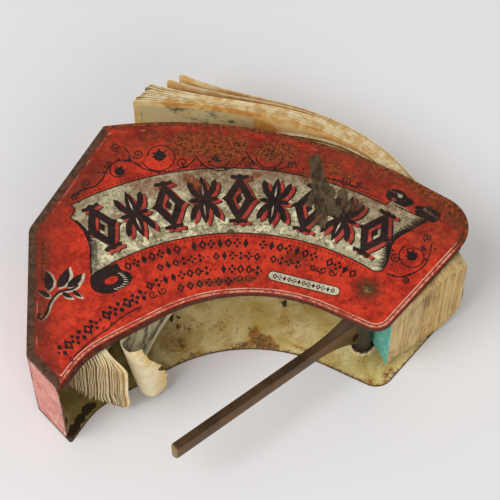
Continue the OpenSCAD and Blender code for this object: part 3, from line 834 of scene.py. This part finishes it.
# Front plate. The fan-shaped face of the case, printed in red, its rim turned
# down along the mouth and the right end, worn dark at the cut edges and rusted
# along the outer arc.
CASE_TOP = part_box("front_plate")[1].z
FRONT_RUST = [
    (-60, 62, 16, 8.5, 4, 0.56), (-66, 64, 9, 5, 0, 0.54), (-50, 60, 12, 9, -6, 0.6), (-32, 58.5, 12, 7, -12, 0.54),
    (-78, 66, 9, 3.5, 8, 0.44), (-14, 54, 12, 6, -20, 0.46), (4, 49.5, 12, 5, -25, 0.46), (22, 42, 11, 5, -35, 0.54),
    (33, 33, 8, 8, -50, 0.5), (36, 20, 5, 9, -15, 0.48), (30, 37, 5, 5, 0, 0.5), (0, 0, 4.6, 4.6, 0, 0.5),
    (-63, 45.5, 7, 2.6, -35, 0.54), (-40, 48, 3, 2, 0, 0.5), (-20, 48, 5, 6, 0, 0.44), (-10.4, 51, 4, 4.5, 0, 0.58),
    (-6, 47.5, 4, 2.5, -20, 0.48), (-60, 36, 5, 5, 0, 0.38), (-5, 34, 8, 6, 0, 0.42), (-26, 12, 6, 3, 0, 0.3),
    (-44, 52, 30, 14, 3, 0.26), (2, 44, 30, 12, -28, 0.28), (26, 26, 14, 16, -20, 0.26), (-84, 60, 14, 8, 25, 0.26),
    (36, 30, 9, 9, 0, 0.5), (28, 34, 12, 8, -40, 0.42), (-115, 12, 2, 12, 0, 0.4), (-115, -12, 2, 12, 0, 0.44),
    (-104, 42, 3, 9, -40, 0.36), (-52, 3, 18, 2, 5, 0.34), (-98, 50, 10, 4, 50, 0.34),
]
FRONT_SOOT = [
    (37, 33, 8, 9, -40, 1.5), (39, 24, 6, 10, -10, 1.6), (28, 39, 9, 5, -40, 0.9), (18, 44, 9, 3.5, -34, 0.6),
    (-118, 10, 3, 22, 0, 0.6),
]
FRONT_SCUFF = [
    (-17.6, 54.2, 3, 3.4, 20, 1.1), (-17.2, 49, 3, 5, 0, 1.05), (-16, 43, 3.7, 6.5, 6, 1.2),
    (-15, 36, 3.7, 6.5, 4, 1.2),
    (-16, 29.4, 2.8, 5, -12, 1.05), (-11.4, 34.8, 3.2, 3.8, 30, 1.05), (-7.8, 38.5, 2.4, 4.6, 0, 1),
    (-8.4, 32, 2.4, 4.2, 20, 1), (-4, 34.2, 4.4, 1.6, 30, 0.85), (-12.6, 41, 2.4, 4.2, 20, 0.95),
    (-19.8, 38, 1.6, 5, 0, 0.75), (-48.6, 23.6, 1.5, 1.3, 20, 1.2), (-104.5, 47.5, 1.4, 1, 40, 0.8),
]
FRONT_SCRATCH = [
    (-110.5, -21, 5.6, 0.28, -33, 1), (-5.5, -4.2, 4, 0.5, 22, 0.8), (-1.4, -6.6, 1.4, 0.5, 50, 0.7),
    (4, -10, 1.2, 0.5, -60, 0.7), (-71, 24.2, 1.6, 0.3, 20, 0.7), (-33, 27, 2, 0.3, -50, 0.6),
    (-89, -4, 2.4, 0.3, 60, 0.6), (-99, 33, 2.2, 0.3, 10, 0.6),
]
PRINT_GRID, RIM_ROUND = 0.9 * MM, 0.7 * MM
front_plate = copy_of("front_plate", "case_front")
front_outline = cut_edges(front_plate, CASE_TOP)
open_edit(front_plate, "DESELECT")
bpy.ops.mesh.select_mode(type="EDGE")
form = bmesh.from_edit_mesh(front_plate.data)
for edge in form.edges:
    top = all(abs(v.co.z - CASE_TOP) < 1e-5 for v in edge.verts)
    below = CASE_TOP - 0.5 * MM
    rim = any(abs(f.normal.z) < 0.2 and f.calc_center_median().z < below for f in edge.link_faces)
    edge.select = top and rim and len(edge.link_faces) == 2
bmesh.update_edit_mesh(front_plate.data)
bpy.ops.mesh.bevel(offset=RIM_ROUND, segments=4, affect="EDGES")
bpy.ops.object.mode_set(mode="OBJECT")
rule(front_plate, PRINT_GRID)
select_only(front_plate)
bpy.ops.object.shade_smooth_by_angle(angle=math.radians(30))


def lay_front_wear(piece):
    """Lays the front plate's own wear on a piece that lies on it."""
    points = points_of(piece)
    gap, way = near_edge(points, front_outline)
    left = (way[:, 0] < -0.5) * 1.0
    top = ((way[:, 1] > 0.5) & (way[:, 0] > -0.5)) * 1.0
    rim = (1 - left) * (1 - top)
    plan = from_axis(points)
    top_rust = top * np.clip(1 - gap / 3.4, 0, 1) * 0.75
    rim_rust = rim * np.clip(1 - gap / 3.0, 0, 1) * 0.28
    set_layers(
        piece, edge=gap + rim * np.interp(plan[:, 0], [-88, -45], [0.2, 1.35]), left_side=left, top_side=top,
        rust=np.maximum.reduce([marks(points, FRONT_RUST), top_rust, rim_rust]),
        scuff=marks(points, FRONT_SCUFF), scratch=marks(points, FRONT_SCRATCH),
        halo=np.maximum(np.clip(1.25 - np.hypot(*plan.T) / 5.6, 0, 1), marks(points, FRONT_SOOT)),
    )


lay_front_wear(front_plate)

# Wear of the printed face: a brown haze where rust creeps in, dark freckles, the
# grey smear where it was scraped, and the dark line where its edge has lost the ink.
WEAR_LAYERS = ("rust", "scuff", "scratch", "halo", "edge", "left_side", "top_side")
print_wear, given, out = new_group("print_wear", WEAR_LAYERS + ("Print",), ("Color", "Roughness", "Height"))
at = object_place(print_wear)
cloud, mottle, fine = noise(at, 75, 6, 0.66, 0.5), noise(at, 480, 5, 0.66, 0.3), noise(at, 1500, 4, 0.7)
scrape = noise(stretched(at, (1, 0.45, 1), -8), 420, 6, 0.72, 0.6)
edge, left, top = given["edge"], given["left_side"], given["top_side"]
rim = 1.0 - (left + top)
ragged = edge + (mottle - 0.5) * 5.0
brown = mottle.step(0.35, 0.65)
rust = use_group(at, tin_rust, Amount=given["rust"], Bloom=colour(156, 74, 34))
worn = layered(
    given["Print"],
    (given["rust"].step(0.0, 0.4) * mottle.step(0.34, 0.6, 0.35, 1.0) * 0.95, (98, 50, 28), "DARKEN"),
    (cloud.step(0.46, 0.68) * along_axis(at, "Y").step(-0.015, 0.035, 0.15, 0.75), (112, 34, 20), "DARKEN"),
    (fine.step(0.58, 0.68) * 0.5, (62, 34, 24)),
    (given["halo"] * mottle.step(0.35, 0.6, 0.6, 1.0) * 0.75, (74, 44, 24)),
    (left * edge.fall(1.5, 18.0, 0.85) * mottle.step(0.3, 0.6, 0.6, 1.0), (104, 40, 26), "DARKEN"),
    (left * ragged.fall(2.2, 3.3) * 0.92, mix(brown, (52, 40, 28), (92, 70, 52))),
    (top * ragged.fall(0.9, 1.7) * 0.85, mix(brown, (56, 40, 28), (96, 62, 40))),
    (rim * edge.fall(1.6, 1.9) * 0.9, mix(mottle.step(0.4, 0.62), (46, 25, 15), (84, 44, 26))),
    (rust["Mask"] * 0.85, rust["Color"]),
    ((given["scratch"] + mottle * 0.5).step(0.6, 0.8) * 0.7, (70, 30, 24)),
    ((given["scuff"] + scrape * 1.6).step(1.22, 1.42) * 0.94, mix(scrape.step(0.38, 0.62), (46, 37, 23), (86, 72, 50))),
)
feed(out, Color=worn, Roughness=mottle.step(0.3, 0.7, 0.42, 0.58) + rust["Mask"] * 0.3)
feed(out, Height=mottle * 0.25 - rust["Mask"] * rust["Pits"])


def printed_tin(name, dark, light, fleck, share, low=0.4):
    """Tin printed in one ink, patchy in itself and worn as the front plate is."""
    material, shader, at = new_material(name)
    patchy = noise(at, 130, 5, 0.66, 0.6) * 0.55 + noise(at, 560, 5, 0.66, 0.3) * 0.45
    ink = mix(patchy.step(low, 0.6), dark, light)
    ink = mix(noise(at, 1100, 4, 0.72).step(0.56, 0.64) * share, ink, fleck)
    worn = use_group(at, print_wear, Print=ink, **{title: layer_of(at, title) for title in WEAR_LAYERS})
    feed(shader, Base_Color=worn["Color"], Roughness=worn["Roughness"], Specular_IOR_Level=0.16)
    feed(shader, Normal=bump(worn["Height"], 0.4, 0.0002))
    return material, shader, at, worn["Color"]


# The red face has a light printed line inside its edge, broken where it is worn, a thin dark line beside it,
# and outside that a broken pale line of painted highlight, the sheen along the rim's raised bead.
red_print, shader, at, worn_red = printed_tin("red_print", (148, 32, 18), (206, 58, 32), (214, 92, 66), 0.3)
edge, left, top = layer_of(at, "edge"), layer_of(at, "left_side"), layer_of(at, "top_side")
rim, broken = 1.0 - (left + top), noise(at, 210, 5, 0.68, 0.5)
kept = rim * broken.step(0.38, 0.52, 0.25, 0.85) + left * broken.step(0.46, 0.62, 0.0, 0.3)
kept = kept + top * broken.step(0.54, 0.64, 0.0, 0.4)
kept = kept * layer_of(at, "rust").step(0.2, 0.45, 1.0, 0.2) * layer_of(at, "halo").fall(0.2, 0.6)
highlight_beads = noise(at, 620, 2, 0.5).step(0.44, 0.52, 0.3, 1.0)
lined = layered(
    worn_red,
    (edge.band(2.75, 2.9, 3.15, 3.3) * rim * 0.85, (92, 30, 22)),
    (edge.band(3.25, 3.35, 3.65, 3.8) * kept, (224, 170, 142)),
    # painted highlight: beads of sheen along the rim's raised bead, not a printed line
    (edge.band(1.95, 2.1, 2.75, 2.9) * highlight_beads * (rim * kept) * 0.95, (216, 150, 122)),
)
feed(shader, Base_Color=lined)
front_plate.data.materials.append(red_print)
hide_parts("front_plate")
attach(front_plate, "case")


# Printed ornament. The face is lithographed over the red in grey, black and
# cream: a curved ribbon with cut ends and rolled tips, bold lozenge ornaments
# on it, rows of small ornaments under it and a vine scroll over it.
def through(points, per=8):
    """A smooth line through a few points."""
    p = [np.array(q, float) for q in points]
    p = [2 * p[0] - p[1]] + p + [2 * p[-1] - p[-2]]
    line = []
    for a, b, c, d in zip(p, p[1:], p[2:], p[3:]):
        for t in np.linspace(0, 1, per, endpoint=False):
            bends = (2 * a - 5 * b + 4 * c - d) * t * t + (3 * b - a - 3 * c + d) * t ** 3
            line.append(0.5 * (2 * b + (c - a) * t + bends))
    return line + [p[-2]]


def on_arc(centre, r, angle):
    return (centre[0] + r * math.cos(math.radians(angle)), centre[1] + r * math.sin(math.radians(angle)))


def spiral(x, y, r, start, turns, inward, steps):
    """A scroll that winds in from its outer end, anticlockwise when turns is above 0."""
    count = max(6, int(abs(turns) * steps))
    shares = [k / count for k in range(count + 1)]
    return [on_arc((x, y), r * (1 - (1 - inward) * t), start + 360 * turns * t) for t in shares]


def stamp(forms, x, y, turn, size=1.0, wide=1.0):
    """Forms set down at a place, turned and sized."""
    c, s = math.cos(math.radians(turn)) * size, math.sin(math.radians(turn)) * size
    return [[(x + u * wide * c - v * s, y + u * wide * s + v * c) for u, v in form] for form in forms]


def pen(line, width, end_width=None):
    """Quads of a pen line of a given width, which may change towards its end."""
    line = np.array(line, float)
    half = np.linspace(width, width if end_width is None else end_width, len(line))[:, None] / 2
    a, b = line + sides_of(line) * half, line - sides_of(line) * half
    return [[b[k], b[k + 1], a[k + 1], a[k]] for k in range(len(line) - 1)]


def dot(x, y, r, sides=8, r2=None, turn=0):
    turns = [2 * math.pi * k / sides for k in range(sides)]
    return stamp([[(r * math.cos(a), (r2 or r) * math.sin(a)) for a in turns]], x, y, turn)


def hollow(outer, inner):
    """Quads between two outlines with as many corners."""
    return [[outer[k - 1], outer[k], inner[k], inner[k - 1]] for k in range(len(outer))]


def diamond(high, wide, x=0.0, y=0.0):
    return [(x, y + high), (x + wide, y), (x, y - high), (x - wide, y)]


RIBBON_TOP, RIBBON_TOP_R = (-49.8, -57.8), 109.0
RIBBON_FOOT, RIBBON_FOOT_R = (-46.8, -60.4), 83.5
ribbon_edge = [on_arc(RIBBON_TOP, RIBBON_TOP_R, a) for a in np.linspace(121.5, 58.4, 64)]
ribbon_edge = through([(-106.9, 29.7), (-105.4, 32.6), ribbon_edge[0]], 5)[:-1] + [np.array(p) for p in ribbon_edge]
ribbon_edge += through([(9.4, 36.6), (12.6, 34.1), (18.2, 30.8), (23.0, 28.6)], 6)
tail_edge = through([(23.0, 28.6), (19.6, 26.6), (16.0, 24.3), (13.4, 22.6), (11.4, 21.1), (9.3, 19.0)], 5)
tail_edge += through([(9.3, 18.8), (8.7, 16.6), (8.2, 14.2), (7.2, 11.0), (5.2, 7.4)], 5)
foot_edge = [np.array(on_arc(RIBBON_FOOT, RIBBON_FOOT_R, a)) for a in np.linspace(52.6, 126.4, 72)]
fold_edge = through([(-98.2, 5.3), (-98.8, 11.8), (-99.2, 17.5), (-101, 22.3), (-103.2, 26), (-106.9, 29.7)], 6)
ribbon_outline = ribbon_edge + tail_edge[1:] + foot_edge[1:] + fold_edge[:-1]
grey_ink = [ribbon_outline]
black_ink = pen(ribbon_outline + [ribbon_outline[0]], 0.5)
red_ink, deep_ink, pale_ink, light_ink, core_ink = [], [], [], [], []

# The ribbon's folded ends are shaded with short pen strokes, and dots run beside its edges.
for k, p in enumerate(fold_edge[1:-2]):
    stroke = np.array([2.6, 0.5]) if k < 14 else np.array([1.9, -0.6])
    for start in (p, p + (fold_edge[k + 2] - p) * 0.5):
        black_ink += pen([start, start + stroke], 0.42, 0.22)
for k, (p, q) in enumerate(zip(tail_edge[:-2], tail_edge[1:])):
    stroke = np.array([-0.8, 0.6] if k < 25 else [-0.95, 0.3]) * (1.9 if k % 2 else 2.8)
    for start in (p, p + (q - p) * 0.5):
        black_ink += pen([start, start + stroke], 0.4, 0.16)
for k in range(6):
    stroke = [(22.2 - 0.5 * k, 28.8 - 0.5 * k), (17.4 - 0.3 * k, 28.9 - 0.6 * k), (12.6 + 0.3 * k, 31.2 - 1.4 * k)]
    black_ink += pen(through(stroke, 4), 0.3, 0.12)
for a in np.arange(61, 121, 0.86):
    black_ink += dot(*on_arc(RIBBON_TOP, RIBBON_TOP_R + 1.3, a), 0.3, 6)
for a in np.arange(56, 127, 1.12):
    black_ink += dot(*on_arc(RIBBON_FOOT, RIBBON_FOOT_R - 1.3, a), 0.3, 6)

# Nine bold ornaments stand on the ribbon, each with a red shadow to its lower right.
ORNAMENTS_AT, ORNAMENTS_R, ORNAMENTS_START, ORNAMENTS_STEP = (-48.3, -59.2), 97.0, 119.0, 7.62
CAP = [(-3.6, 8.9), (-3.1, 10.5), (-1.4, 10.1), (0, 10.9), (1.4, 10.1), (3.1, 10.5), (3.6, 8.9)]
CAP += [(1.6, 8.5), (-1.6, 8.5)]
LOZENGE = hollow(
    [(0, 10.2), (3, 5), (5.5, 0), (3, -5), (0, -10.2), (-3, -5), (-5.5, 0), (-3, 5)],
    [(0, 4.9), (1.15, 2.6), (2.3, 0), (1.15, -2.6), (0, -4.9), (-1.15, -2.6), (-2.3, 0), (-1.15, 2.6)],
)
LOZENGE += [CAP, [(u, -v) for u, v in CAP]] + [[(5.0 * f, 1.2), (6.4 * f, 0), (5.0 * f, -1.2)] for f in (1, -1)]
BLADE = [(0, 10.6), (1.3, 7.4), (1.9, 3.8), (1.7, 0), (1.9, -3.8), (1.3, -7.4)]
SIDE_PETAL = [(1.0, 0.4), (3.0, 1.4), (4.6, 3.4), (5.6, 6.6), (5.2, 8.8), (3.6, 7.6), (2.9, 5.4), (1.6, 3.2)]
BAR = [(-4.6, 0.9), (-1.2, 1.1), (1.2, 1.1), (4.6, 0.9), (5.6, 0)]
FLEURON = [BLADE + [(-u, -v) for u, v in BLADE]]
FLEURON += [[(f * u, g * v) for u, v in SIDE_PETAL] for f in (1, -1) for g in (1, -1)]
FLEURON += [BAR + [(-u, -v) for u, v in BAR]]
GLINTS = [[(0, 7.0 * f), (0.34, 3.4 * f), (0, 1.6 * f), (-0.34, 3.4 * f)] for f in (1, -1)]
for k in range(9):
    a = ORNAMENTS_START - ORNAMENTS_STEP * k
    x, y = on_arc(ORNAMENTS_AT, ORNAMENTS_R, a)
    forms = FLEURON if k % 2 else LOZENGE
    deep_ink += stamp(forms, x + 1.7, y - 1.25, a - 90)
    red_ink += stamp(forms, x + 1.25, y - 0.9, a - 90, 1.0, 0.98)
    black_ink += stamp(forms, x, y, a - 90)
    if k % 2:
        light_ink += stamp(GLINTS, x, y, a - 90)
    else:
        black_ink += stamp([diamond(1.0, 0.62)], x, y, a - 90, 2.3, 0.95)

# The rolled tip at the left, and the two curls at the right end of the ribbon.
ROLL = [
    (-98.4, 5.1), (-95, 8), (-91.6, 9.6), (-89.5, 10.4), (-88.6, 9.4), (-87.5, 7.6), (-85.6, 7), (-84.3, 6.4),
    (-83.5, 4.9), (-83.8, 3.1), (-84.7, 1.9), (-86.2, 0.6), (-87.9, -0.5), (-89.8, -1.4), (-91.4, -2), (-93.9, -2.1),
    (-95.6, -1.6), (-96.9, -0.8), (-98, 0.4), (-98.6, 2.6),
]
CURLS = [
    [(8.4, 41.2), (11, 42), (14.4, 40.6), (15.2, 39.2), (17.8, 36.2), (16, 34.4), (13.2, 34.6), (11.6, 35.4),
     (9.4, 36.6), (7.6, 38.6)],
    [(17.4, 33.2), (19, 34.8), (21.6, 34.2), (23.6, 35), (26, 33.2), (27.4, 31), (26.6, 28.8), (24.2, 27.4),
     (22, 28.6), (19, 30.4)],
]
turns = np.radians(np.linspace(160, -182, 20))
black_ink += hollow(ROLL, [
    (-91.0 + 2.3 * math.cos(a) + 0.5 * math.sin(a), 3.4 + 1.7 * math.sin(a) + 0.4 * math.cos(a)) for a in turns
])
for p in through([(-88.2, 6.6), (-86.6, 5.0), (-86.0, 3.2), (-87.2, 1.4), (-89.4, 0.2)], 2):
    light_ink += pen([p + (-0.5, -0.3), p + (1.1, -0.5)], 0.34, 0.2)
black_ink += [through(curl + curl[:1], 3)[:-1] for curl in CURLS]
light_ink += stamp([[(-1.2, 0.6), (0.4, 1.0), (1.3, 0.1), (0.9, -0.9), (-0.6, -0.9)]], 12.9, 39.0, -30, 0.9)
core_ink += dot(10.6, 37.4, 1.0, 10, 0.7, -30) + dot(17.6, 33.4, 1.2, 10, 0.7, -35)
light_ink += pen([(9.6, 36.6), (12.2, 34.8), (15.9, 32.6)], 0.5, 0.2)
for k in range(8):
    light_ink += pen([(21.0 + 0.62 * k, 32.9 - 0.5 * k), (22.2 + 0.62 * k, 33.8 - 0.62 * k)], 0.26, 0.14)
for k in range(5):
    light_ink += pen([(9.6 + 1.0 * k, 40.9 - 0.5 * k), (10.1 + 1.0 * k, 41.5 - 0.55 * k)], 0.22, 0.14)

# Rows of small ornaments under the ribbon. Each row is its radius, start and stop
# angles, pitch, size and at which step a dot takes an ornament's place.
SMALL_ROWS = [
    (77.2, 119, 56.6, 3.1, 1.18, 8), (71.9, 111.2, 71.5, 2.8, 1.04, 7), (66.4, 116.4, 82.5, 3, 1.14, 9),
    (61.4, 107.5, 91.5, 2.95, 1.08, 8),
]
ROWS_CENTRE = (-47.8, -58.3)
OPEN_DIAMOND = hollow(diamond(1.75, 1.25), diamond(0.8, 0.52))
SOLID_DIAMOND = [diamond(1.75, 0.85)]
CROSSLET = [diamond(0.684, 0.578, u, v) for u, v in diamond(1.1, 0.8)]
STACK = [[(0, 1.8 * f), (0.72, 0.95 * f), (0, 0.1 * f), (-0.72, 0.95 * f)] for f in (1, -1)]
STACK += [[(1.2 * f, 0.5), (0.75 * f, 0), (1.2 * f, -0.5), (1.6 * f, 0)] for f in (1, -1)]
SMALL = [OPEN_DIAMOND, CROSSLET, SOLID_DIAMOND, STACK]
for row, (r, start, stop, pitch, size, dot_every) in enumerate(SMALL_ROWS):
    count = int((start - stop) / (pitch * 57.3 / r))
    for k in range(count + 1):
        a = start - (start - stop) * k / count
        x, y = on_arc(ROWS_CENTRE, r, a)
        if k % dot_every == dot_every - 1:
            black_ink += dot(x, y, 0.34)
        else:
            black_ink += stamp(SMALL[(k * (row + 1) + k // 3) % 4], x, y, a - 90, size)
for x, y, flip in (
    (-16, 7.6, 1), (-12.6, 6.6, -1), (-19.2, 8.7, -1), (-76.2, -2.4, -1), (-72.6, -0.8, 1), (-45.6, 4.5, 1),
    (-42.2, 4.5, -1),
):
    black_ink += pen(spiral(x, y, 1.6, 90 + 90 * flip, 1.2 * flip, 0.2, 16), 0.5, 0.34)
black_ink += pen(through([(-20.6, 9.6), (-17.8, 7.0), (-14.4, 8.6), (-11.2, 5.2)], 6), 0.42, 0.3)
black_ink += dot(-9.6, 5.4, 0.4) + dot(-39.9, 4.1, 0.4)

first, last = np.array((-33.6, 5.3)), np.array((-11.9, -1.0))
turn = way_of(last - first)
capsule = [on_arc(last, 1.85, turn + a) for a in np.linspace(-90, 90, 9)]
capsule += [on_arc(first, 1.85, turn + a) for a in np.linspace(90, 270, 9)]
pale_ink.append(capsule)
black_ink += pen(capsule + capsule[:2], 0.36)
for k in range(13):
    x, y = first + (last - first) * (k + 0.4) / 12.8
    black_ink += stamp((OPEN_DIAMOND, CROSSLET, SOLID_DIAMOND)[k % 3], x, y, turn, 0.62, 1.15)

# A leaf spray in the left corner, and a row of bolder ornaments over a flourish.
LEAF = [[(0, 0), (1.5, 1.2), (2.1, 3.0), (1.7, 5.2), (0.3, 7.4), (-0.5, 5.4), (-0.9, 3.4), (-0.9, 1.6)]]
LEAVES = [
    (-113, -1, 12, 1.15, 1), (-110, 0.2, -20, 1.25, 1), (-106.6, 0.6, -40, 1.05, 1),
    (-112.4, -3.6, 60, 0.75, 0.9), (-108.2, -1.4, -118, 0.62, 0.9), (-104.4, -0.6, -128, 0.6, 0.9),
]
SPRAY = [
    (-102.6, 1.4), (-104.9, -0.2), (-109.4, -1.6), (-112.2, -5.6), (-113.2, -9.6), (-115, -12.2), (-116, -11),
    (-115, -9.8),
]
FLOURISH = [
    (-102.9, -27.2), (-97.6, -21.4), (-93.4, -17.6), (-91.6, -16.6), (-90.2, -14.8), (-86, -11), (-79.8, -7),
]
for x, y, turn, size, wide in LEAVES:
    pale_ink += stamp(LEAF, x + 0.45, y - 0.5, turn, size * 1.1, wide * 1.12)
    black_ink += stamp(LEAF, x, y, turn, size, wide)
spray = through(SPRAY, 8)
pale_ink += pen([p + (0.4, -0.4) for p in spray], 1.2, 1.5)
black_ink += pen(spray, 0.8, 1.1)
for k in range(5):
    black_ink += dot(-116.2 + 0.16 * k, 18.5 - 3.2 * k, 0.42)
    black_ink += pen(spiral(-116.0 + 0.16 * k, 16.9 - 3.2 * k, 0.55, 90, 0.8, 0.7, 10), 0.25)
bold_row = through([(-106.9, -24.6), (-98.4, -16.4), (-90.0, -9.0), (-79.9, -2.6)], 12)
for k in range(13):
    x, y = bold_row[min(k * 3, 36)]
    turn = way_of(bold_row[min(k * 3 + 1, 36)] - bold_row[max(k * 3 - 1, 0)])
    if k == 6:
        black_ink += dot(x, y, 0.6)
    else:
        black_ink += stamp((STACK, OPEN_DIAMOND, CROSSLET)[k % 3], x, y, turn, 1.5, 0.85)
black_ink += pen(through(FLOURISH, 8), 0.5)
for x, y, flip in ((-92.4, -16.2, 1), (-89.8, -14.0, -1), (-80.4, -8.2, -1), (-103.4, -28.4, 1)):
    black_ink += pen(spiral(x, y, 0.9, 90 * flip, 0.9 * flip, 0.3, 12), 0.4)

# The vine scroll between the ribbon and the outer arc, and the sprig at the right end.
SCROLLS = [
    (-101.6, 44.2, 2.2, -30, -1.4), (-105.6, 38.4, 1.6, 60, 1.2), (-94, 52.8, 1.6, 200, 1.3),
    (-91.4, 60.4, 2, -60, -1.3), (-90, 49.8, 3.5, 150, 0.95), (-83.4, 57.4, 2.2, 210, 1.3),
    (-75.2, 56.2, 6.8, 200, 0.92), (-66.6, 53.6, 2.6, -20, -1.3), (-58.6, 60.2, 2.2, 180, 1.3),
    (-53.6, 55.6, 5.6, 170, -0.9), (-45.6, 59.4, 2.6, 0, 1.3), (-42.2, 53, 2, 60, -1.3), (-34.2, 56.2, 5.4, 190, 0.95),
    (-26.6, 52.2, 1.9, -30, 1.3), (-6.6, 45.6, 2.2, 190, 1.4), (-1.8, 43.6, 1.3, 160, -1.2),
    (16.4, 13.2, 5.2, 120, 1), (13.3, 3.2, 1.5, 120, -1.3), (10.2, 12.4, 1.9, 60, 1.3), (22.2, 21, 1.7, 240, -1.3),
    (20.6, 16.4, 1.2, 60, 1.2),
]
BUD = [(0, -1.7), (1.0, -1.2), (2.0, 0.1), (1.3, 0.5), (1.9, 1.7), (0.8, 1.3)]
BUD = [BUD + [(0, 2.6), (-0.8, 1.3), (-1.9, 1.7), (-1.3, 0.5), (-2.0, 0.1), (-1.0, -1.2)]]
PETAL = [[(0, 0), (0.55, 0.8), (0.5, 1.8), (0, 2.9), (-0.5, 1.8), (-0.55, 0.8)]]
STEMS = [
    [(-107.2, 38.2), (-103.4, 41.4), (-98.8, 43), (-96, 46.2), (-94, 51), (-90.6, 54.4), (-85.4, 54),
     (-81, 51), (-74.6, 49.4), (-68.2, 50.6), (-64.4, 52.8), (-61.6, 55.6)],
    [(-66.8, 60.6), (-62.6, 57.4), (-59, 52.6), (-53.6, 50), (-47.6, 51.6), (-44.6, 54.6), (-42.6, 56.6)],
    [(-48.6, 62.6), (-44, 59.4), (-40.6, 53.6), (-35.2, 50.4), (-29.4, 51.2), (-24.8, 54.6)],
    [(-88, 53.6), (-86.2, 56.4), (-88.2, 60)],
    [(-13.8, 47), (-9.4, 45.6), (-4, 43.4), (1.8, 41.6)],
    [(6.6, 6.4), (10.6, 4.8), (15.6, 6), (20.2, 9.4), (22.4, 13.8), (23.6, 19)],
]
BUDS = [
    (-90, 49.6, -20, 1.05), (-75.2, 56.4, 8, 1.35), (-53.6, 55.8, 0, 1.35), (-34.2, 56.8, -6, 1.3),
    (16.2, 13.4, 40, 1.15),
]
BERRIES = [
    (-3.2, 42.9), (8.8, 9.6), (9.4, 15.8), (24.6, 16.4), (-97.4, 49.2), (-104.2, 36.2), (-68.6, 57.6), (-29.2, 60),
    (-22.2, 50.8),
]
for x, y, r, start, turns in SCROLLS:
    scroll = spiral(x, y, r, start, turns, 0.22 if r < 4 else 0.66, 20)
    black_ink += pen(scroll, 0.5, 0.4) + dot(*scroll[-1], 0.45)
for x, y, turn, size in BUDS:
    black_ink += stamp(BUD, x, y, turn, size, 1.05)
for stem in STEMS:
    black_ink += pen(through(stem, 8), 0.6, 0.42)
    for k, p in list(enumerate(through(stem, 2)[1:-1]))[::3]:
        black_ink += stamp(PETAL, p[0], p[1], 70 * (k % 4) - 100, 0.5, 1.7)
for x, y in BERRIES:
    black_ink += dot(x, y, 0.45)


def printed(name, forms, level, material, grid=None):
    """All the forms of one ink, lying on the printed face as one thin film."""
    points, faces = [], []
    for k, form in enumerate(forms):
        faces.append(tuple(range(len(points), len(points) + len(form))))
        points += [place(p[0], p[1], CASE_TOP / MM + level + 0.0006 * (k % 9)) for p in form]
    mesh = bpy.data.meshes.new(name)
    mesh.from_pydata(points, [], faces)
    piece = linked(name, mesh)
    form = bmesh.new()
    form.from_mesh(mesh)
    form.normal_update()
    bmesh.ops.reverse_faces(form, faces=[f for f in form.faces if f.normal.z < 0])
    form.to_mesh(mesh)
    form.free()
    if grid:
        rule(piece, grid)
    lay_front_wear(piece)
    mesh.materials.append(material)
    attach(piece, "case")
    return piece


# The ribbon's grey has worn to bare bright tin along its lower side.
grey_print, shader, at, worn_grey = printed_tin(
    "grey_print", (142, 134, 102), (188, 180, 146), (84, 60, 38), 0.85, low=0.42
)
bare = noise(at, 330, 4, 0.6, 0.4).step(0.54, 0.59) * layer_of(at, "low").step(0.3, 0.7, 0.12, 1.0)
bare = bare * layer_of(at, "scuff").fall(0.2, 0.5, 0.8) * layer_of(at, "rust").step(0.2, 0.45, 1.0, 0.1)
freckle = noise(at, 640, 3, 0.7, 0.3).step(0.57, 0.61)
feed(shader, Base_Color=layered(worn_grey, (bare, (222, 214, 176)), (freckle * 0.75, (104, 70, 38))))
black_print = printed_tin("black_print", (26, 19, 18), (44, 30, 27), (110, 60, 44), 0.25)[0]
shade_print = printed_tin("shade_print", (142, 40, 34), (184, 72, 58), (110, 50, 36), 0.3)[0]
cream_print = printed_tin("cream_print", (176, 164, 138), (204, 194, 168), (120, 90, 64), 0.4)[0]
ribbon = printed("print_ribbon", grey_ink, 0.012, grey_print, PRINT_GRID)
from_centre = np.hypot(*(from_axis(points_of(ribbon)) - RIBBON_TOP).T)
set_layers(ribbon, low=np.clip((RIBBON_TOP_R - from_centre) / 22, 0, 1))
printed("print_shade_edges", deep_ink, 0.018, black_print)
printed("print_shades", red_ink, 0.024, shade_print)
printed("print_pale", pale_ink, 0.03, cream_print)
printed("print_lines", black_ink, 0.036, black_print)
printed("print_lights", light_ink, 0.048, cream_print)
printed("print_core", core_ink, 0.048, shade_print)
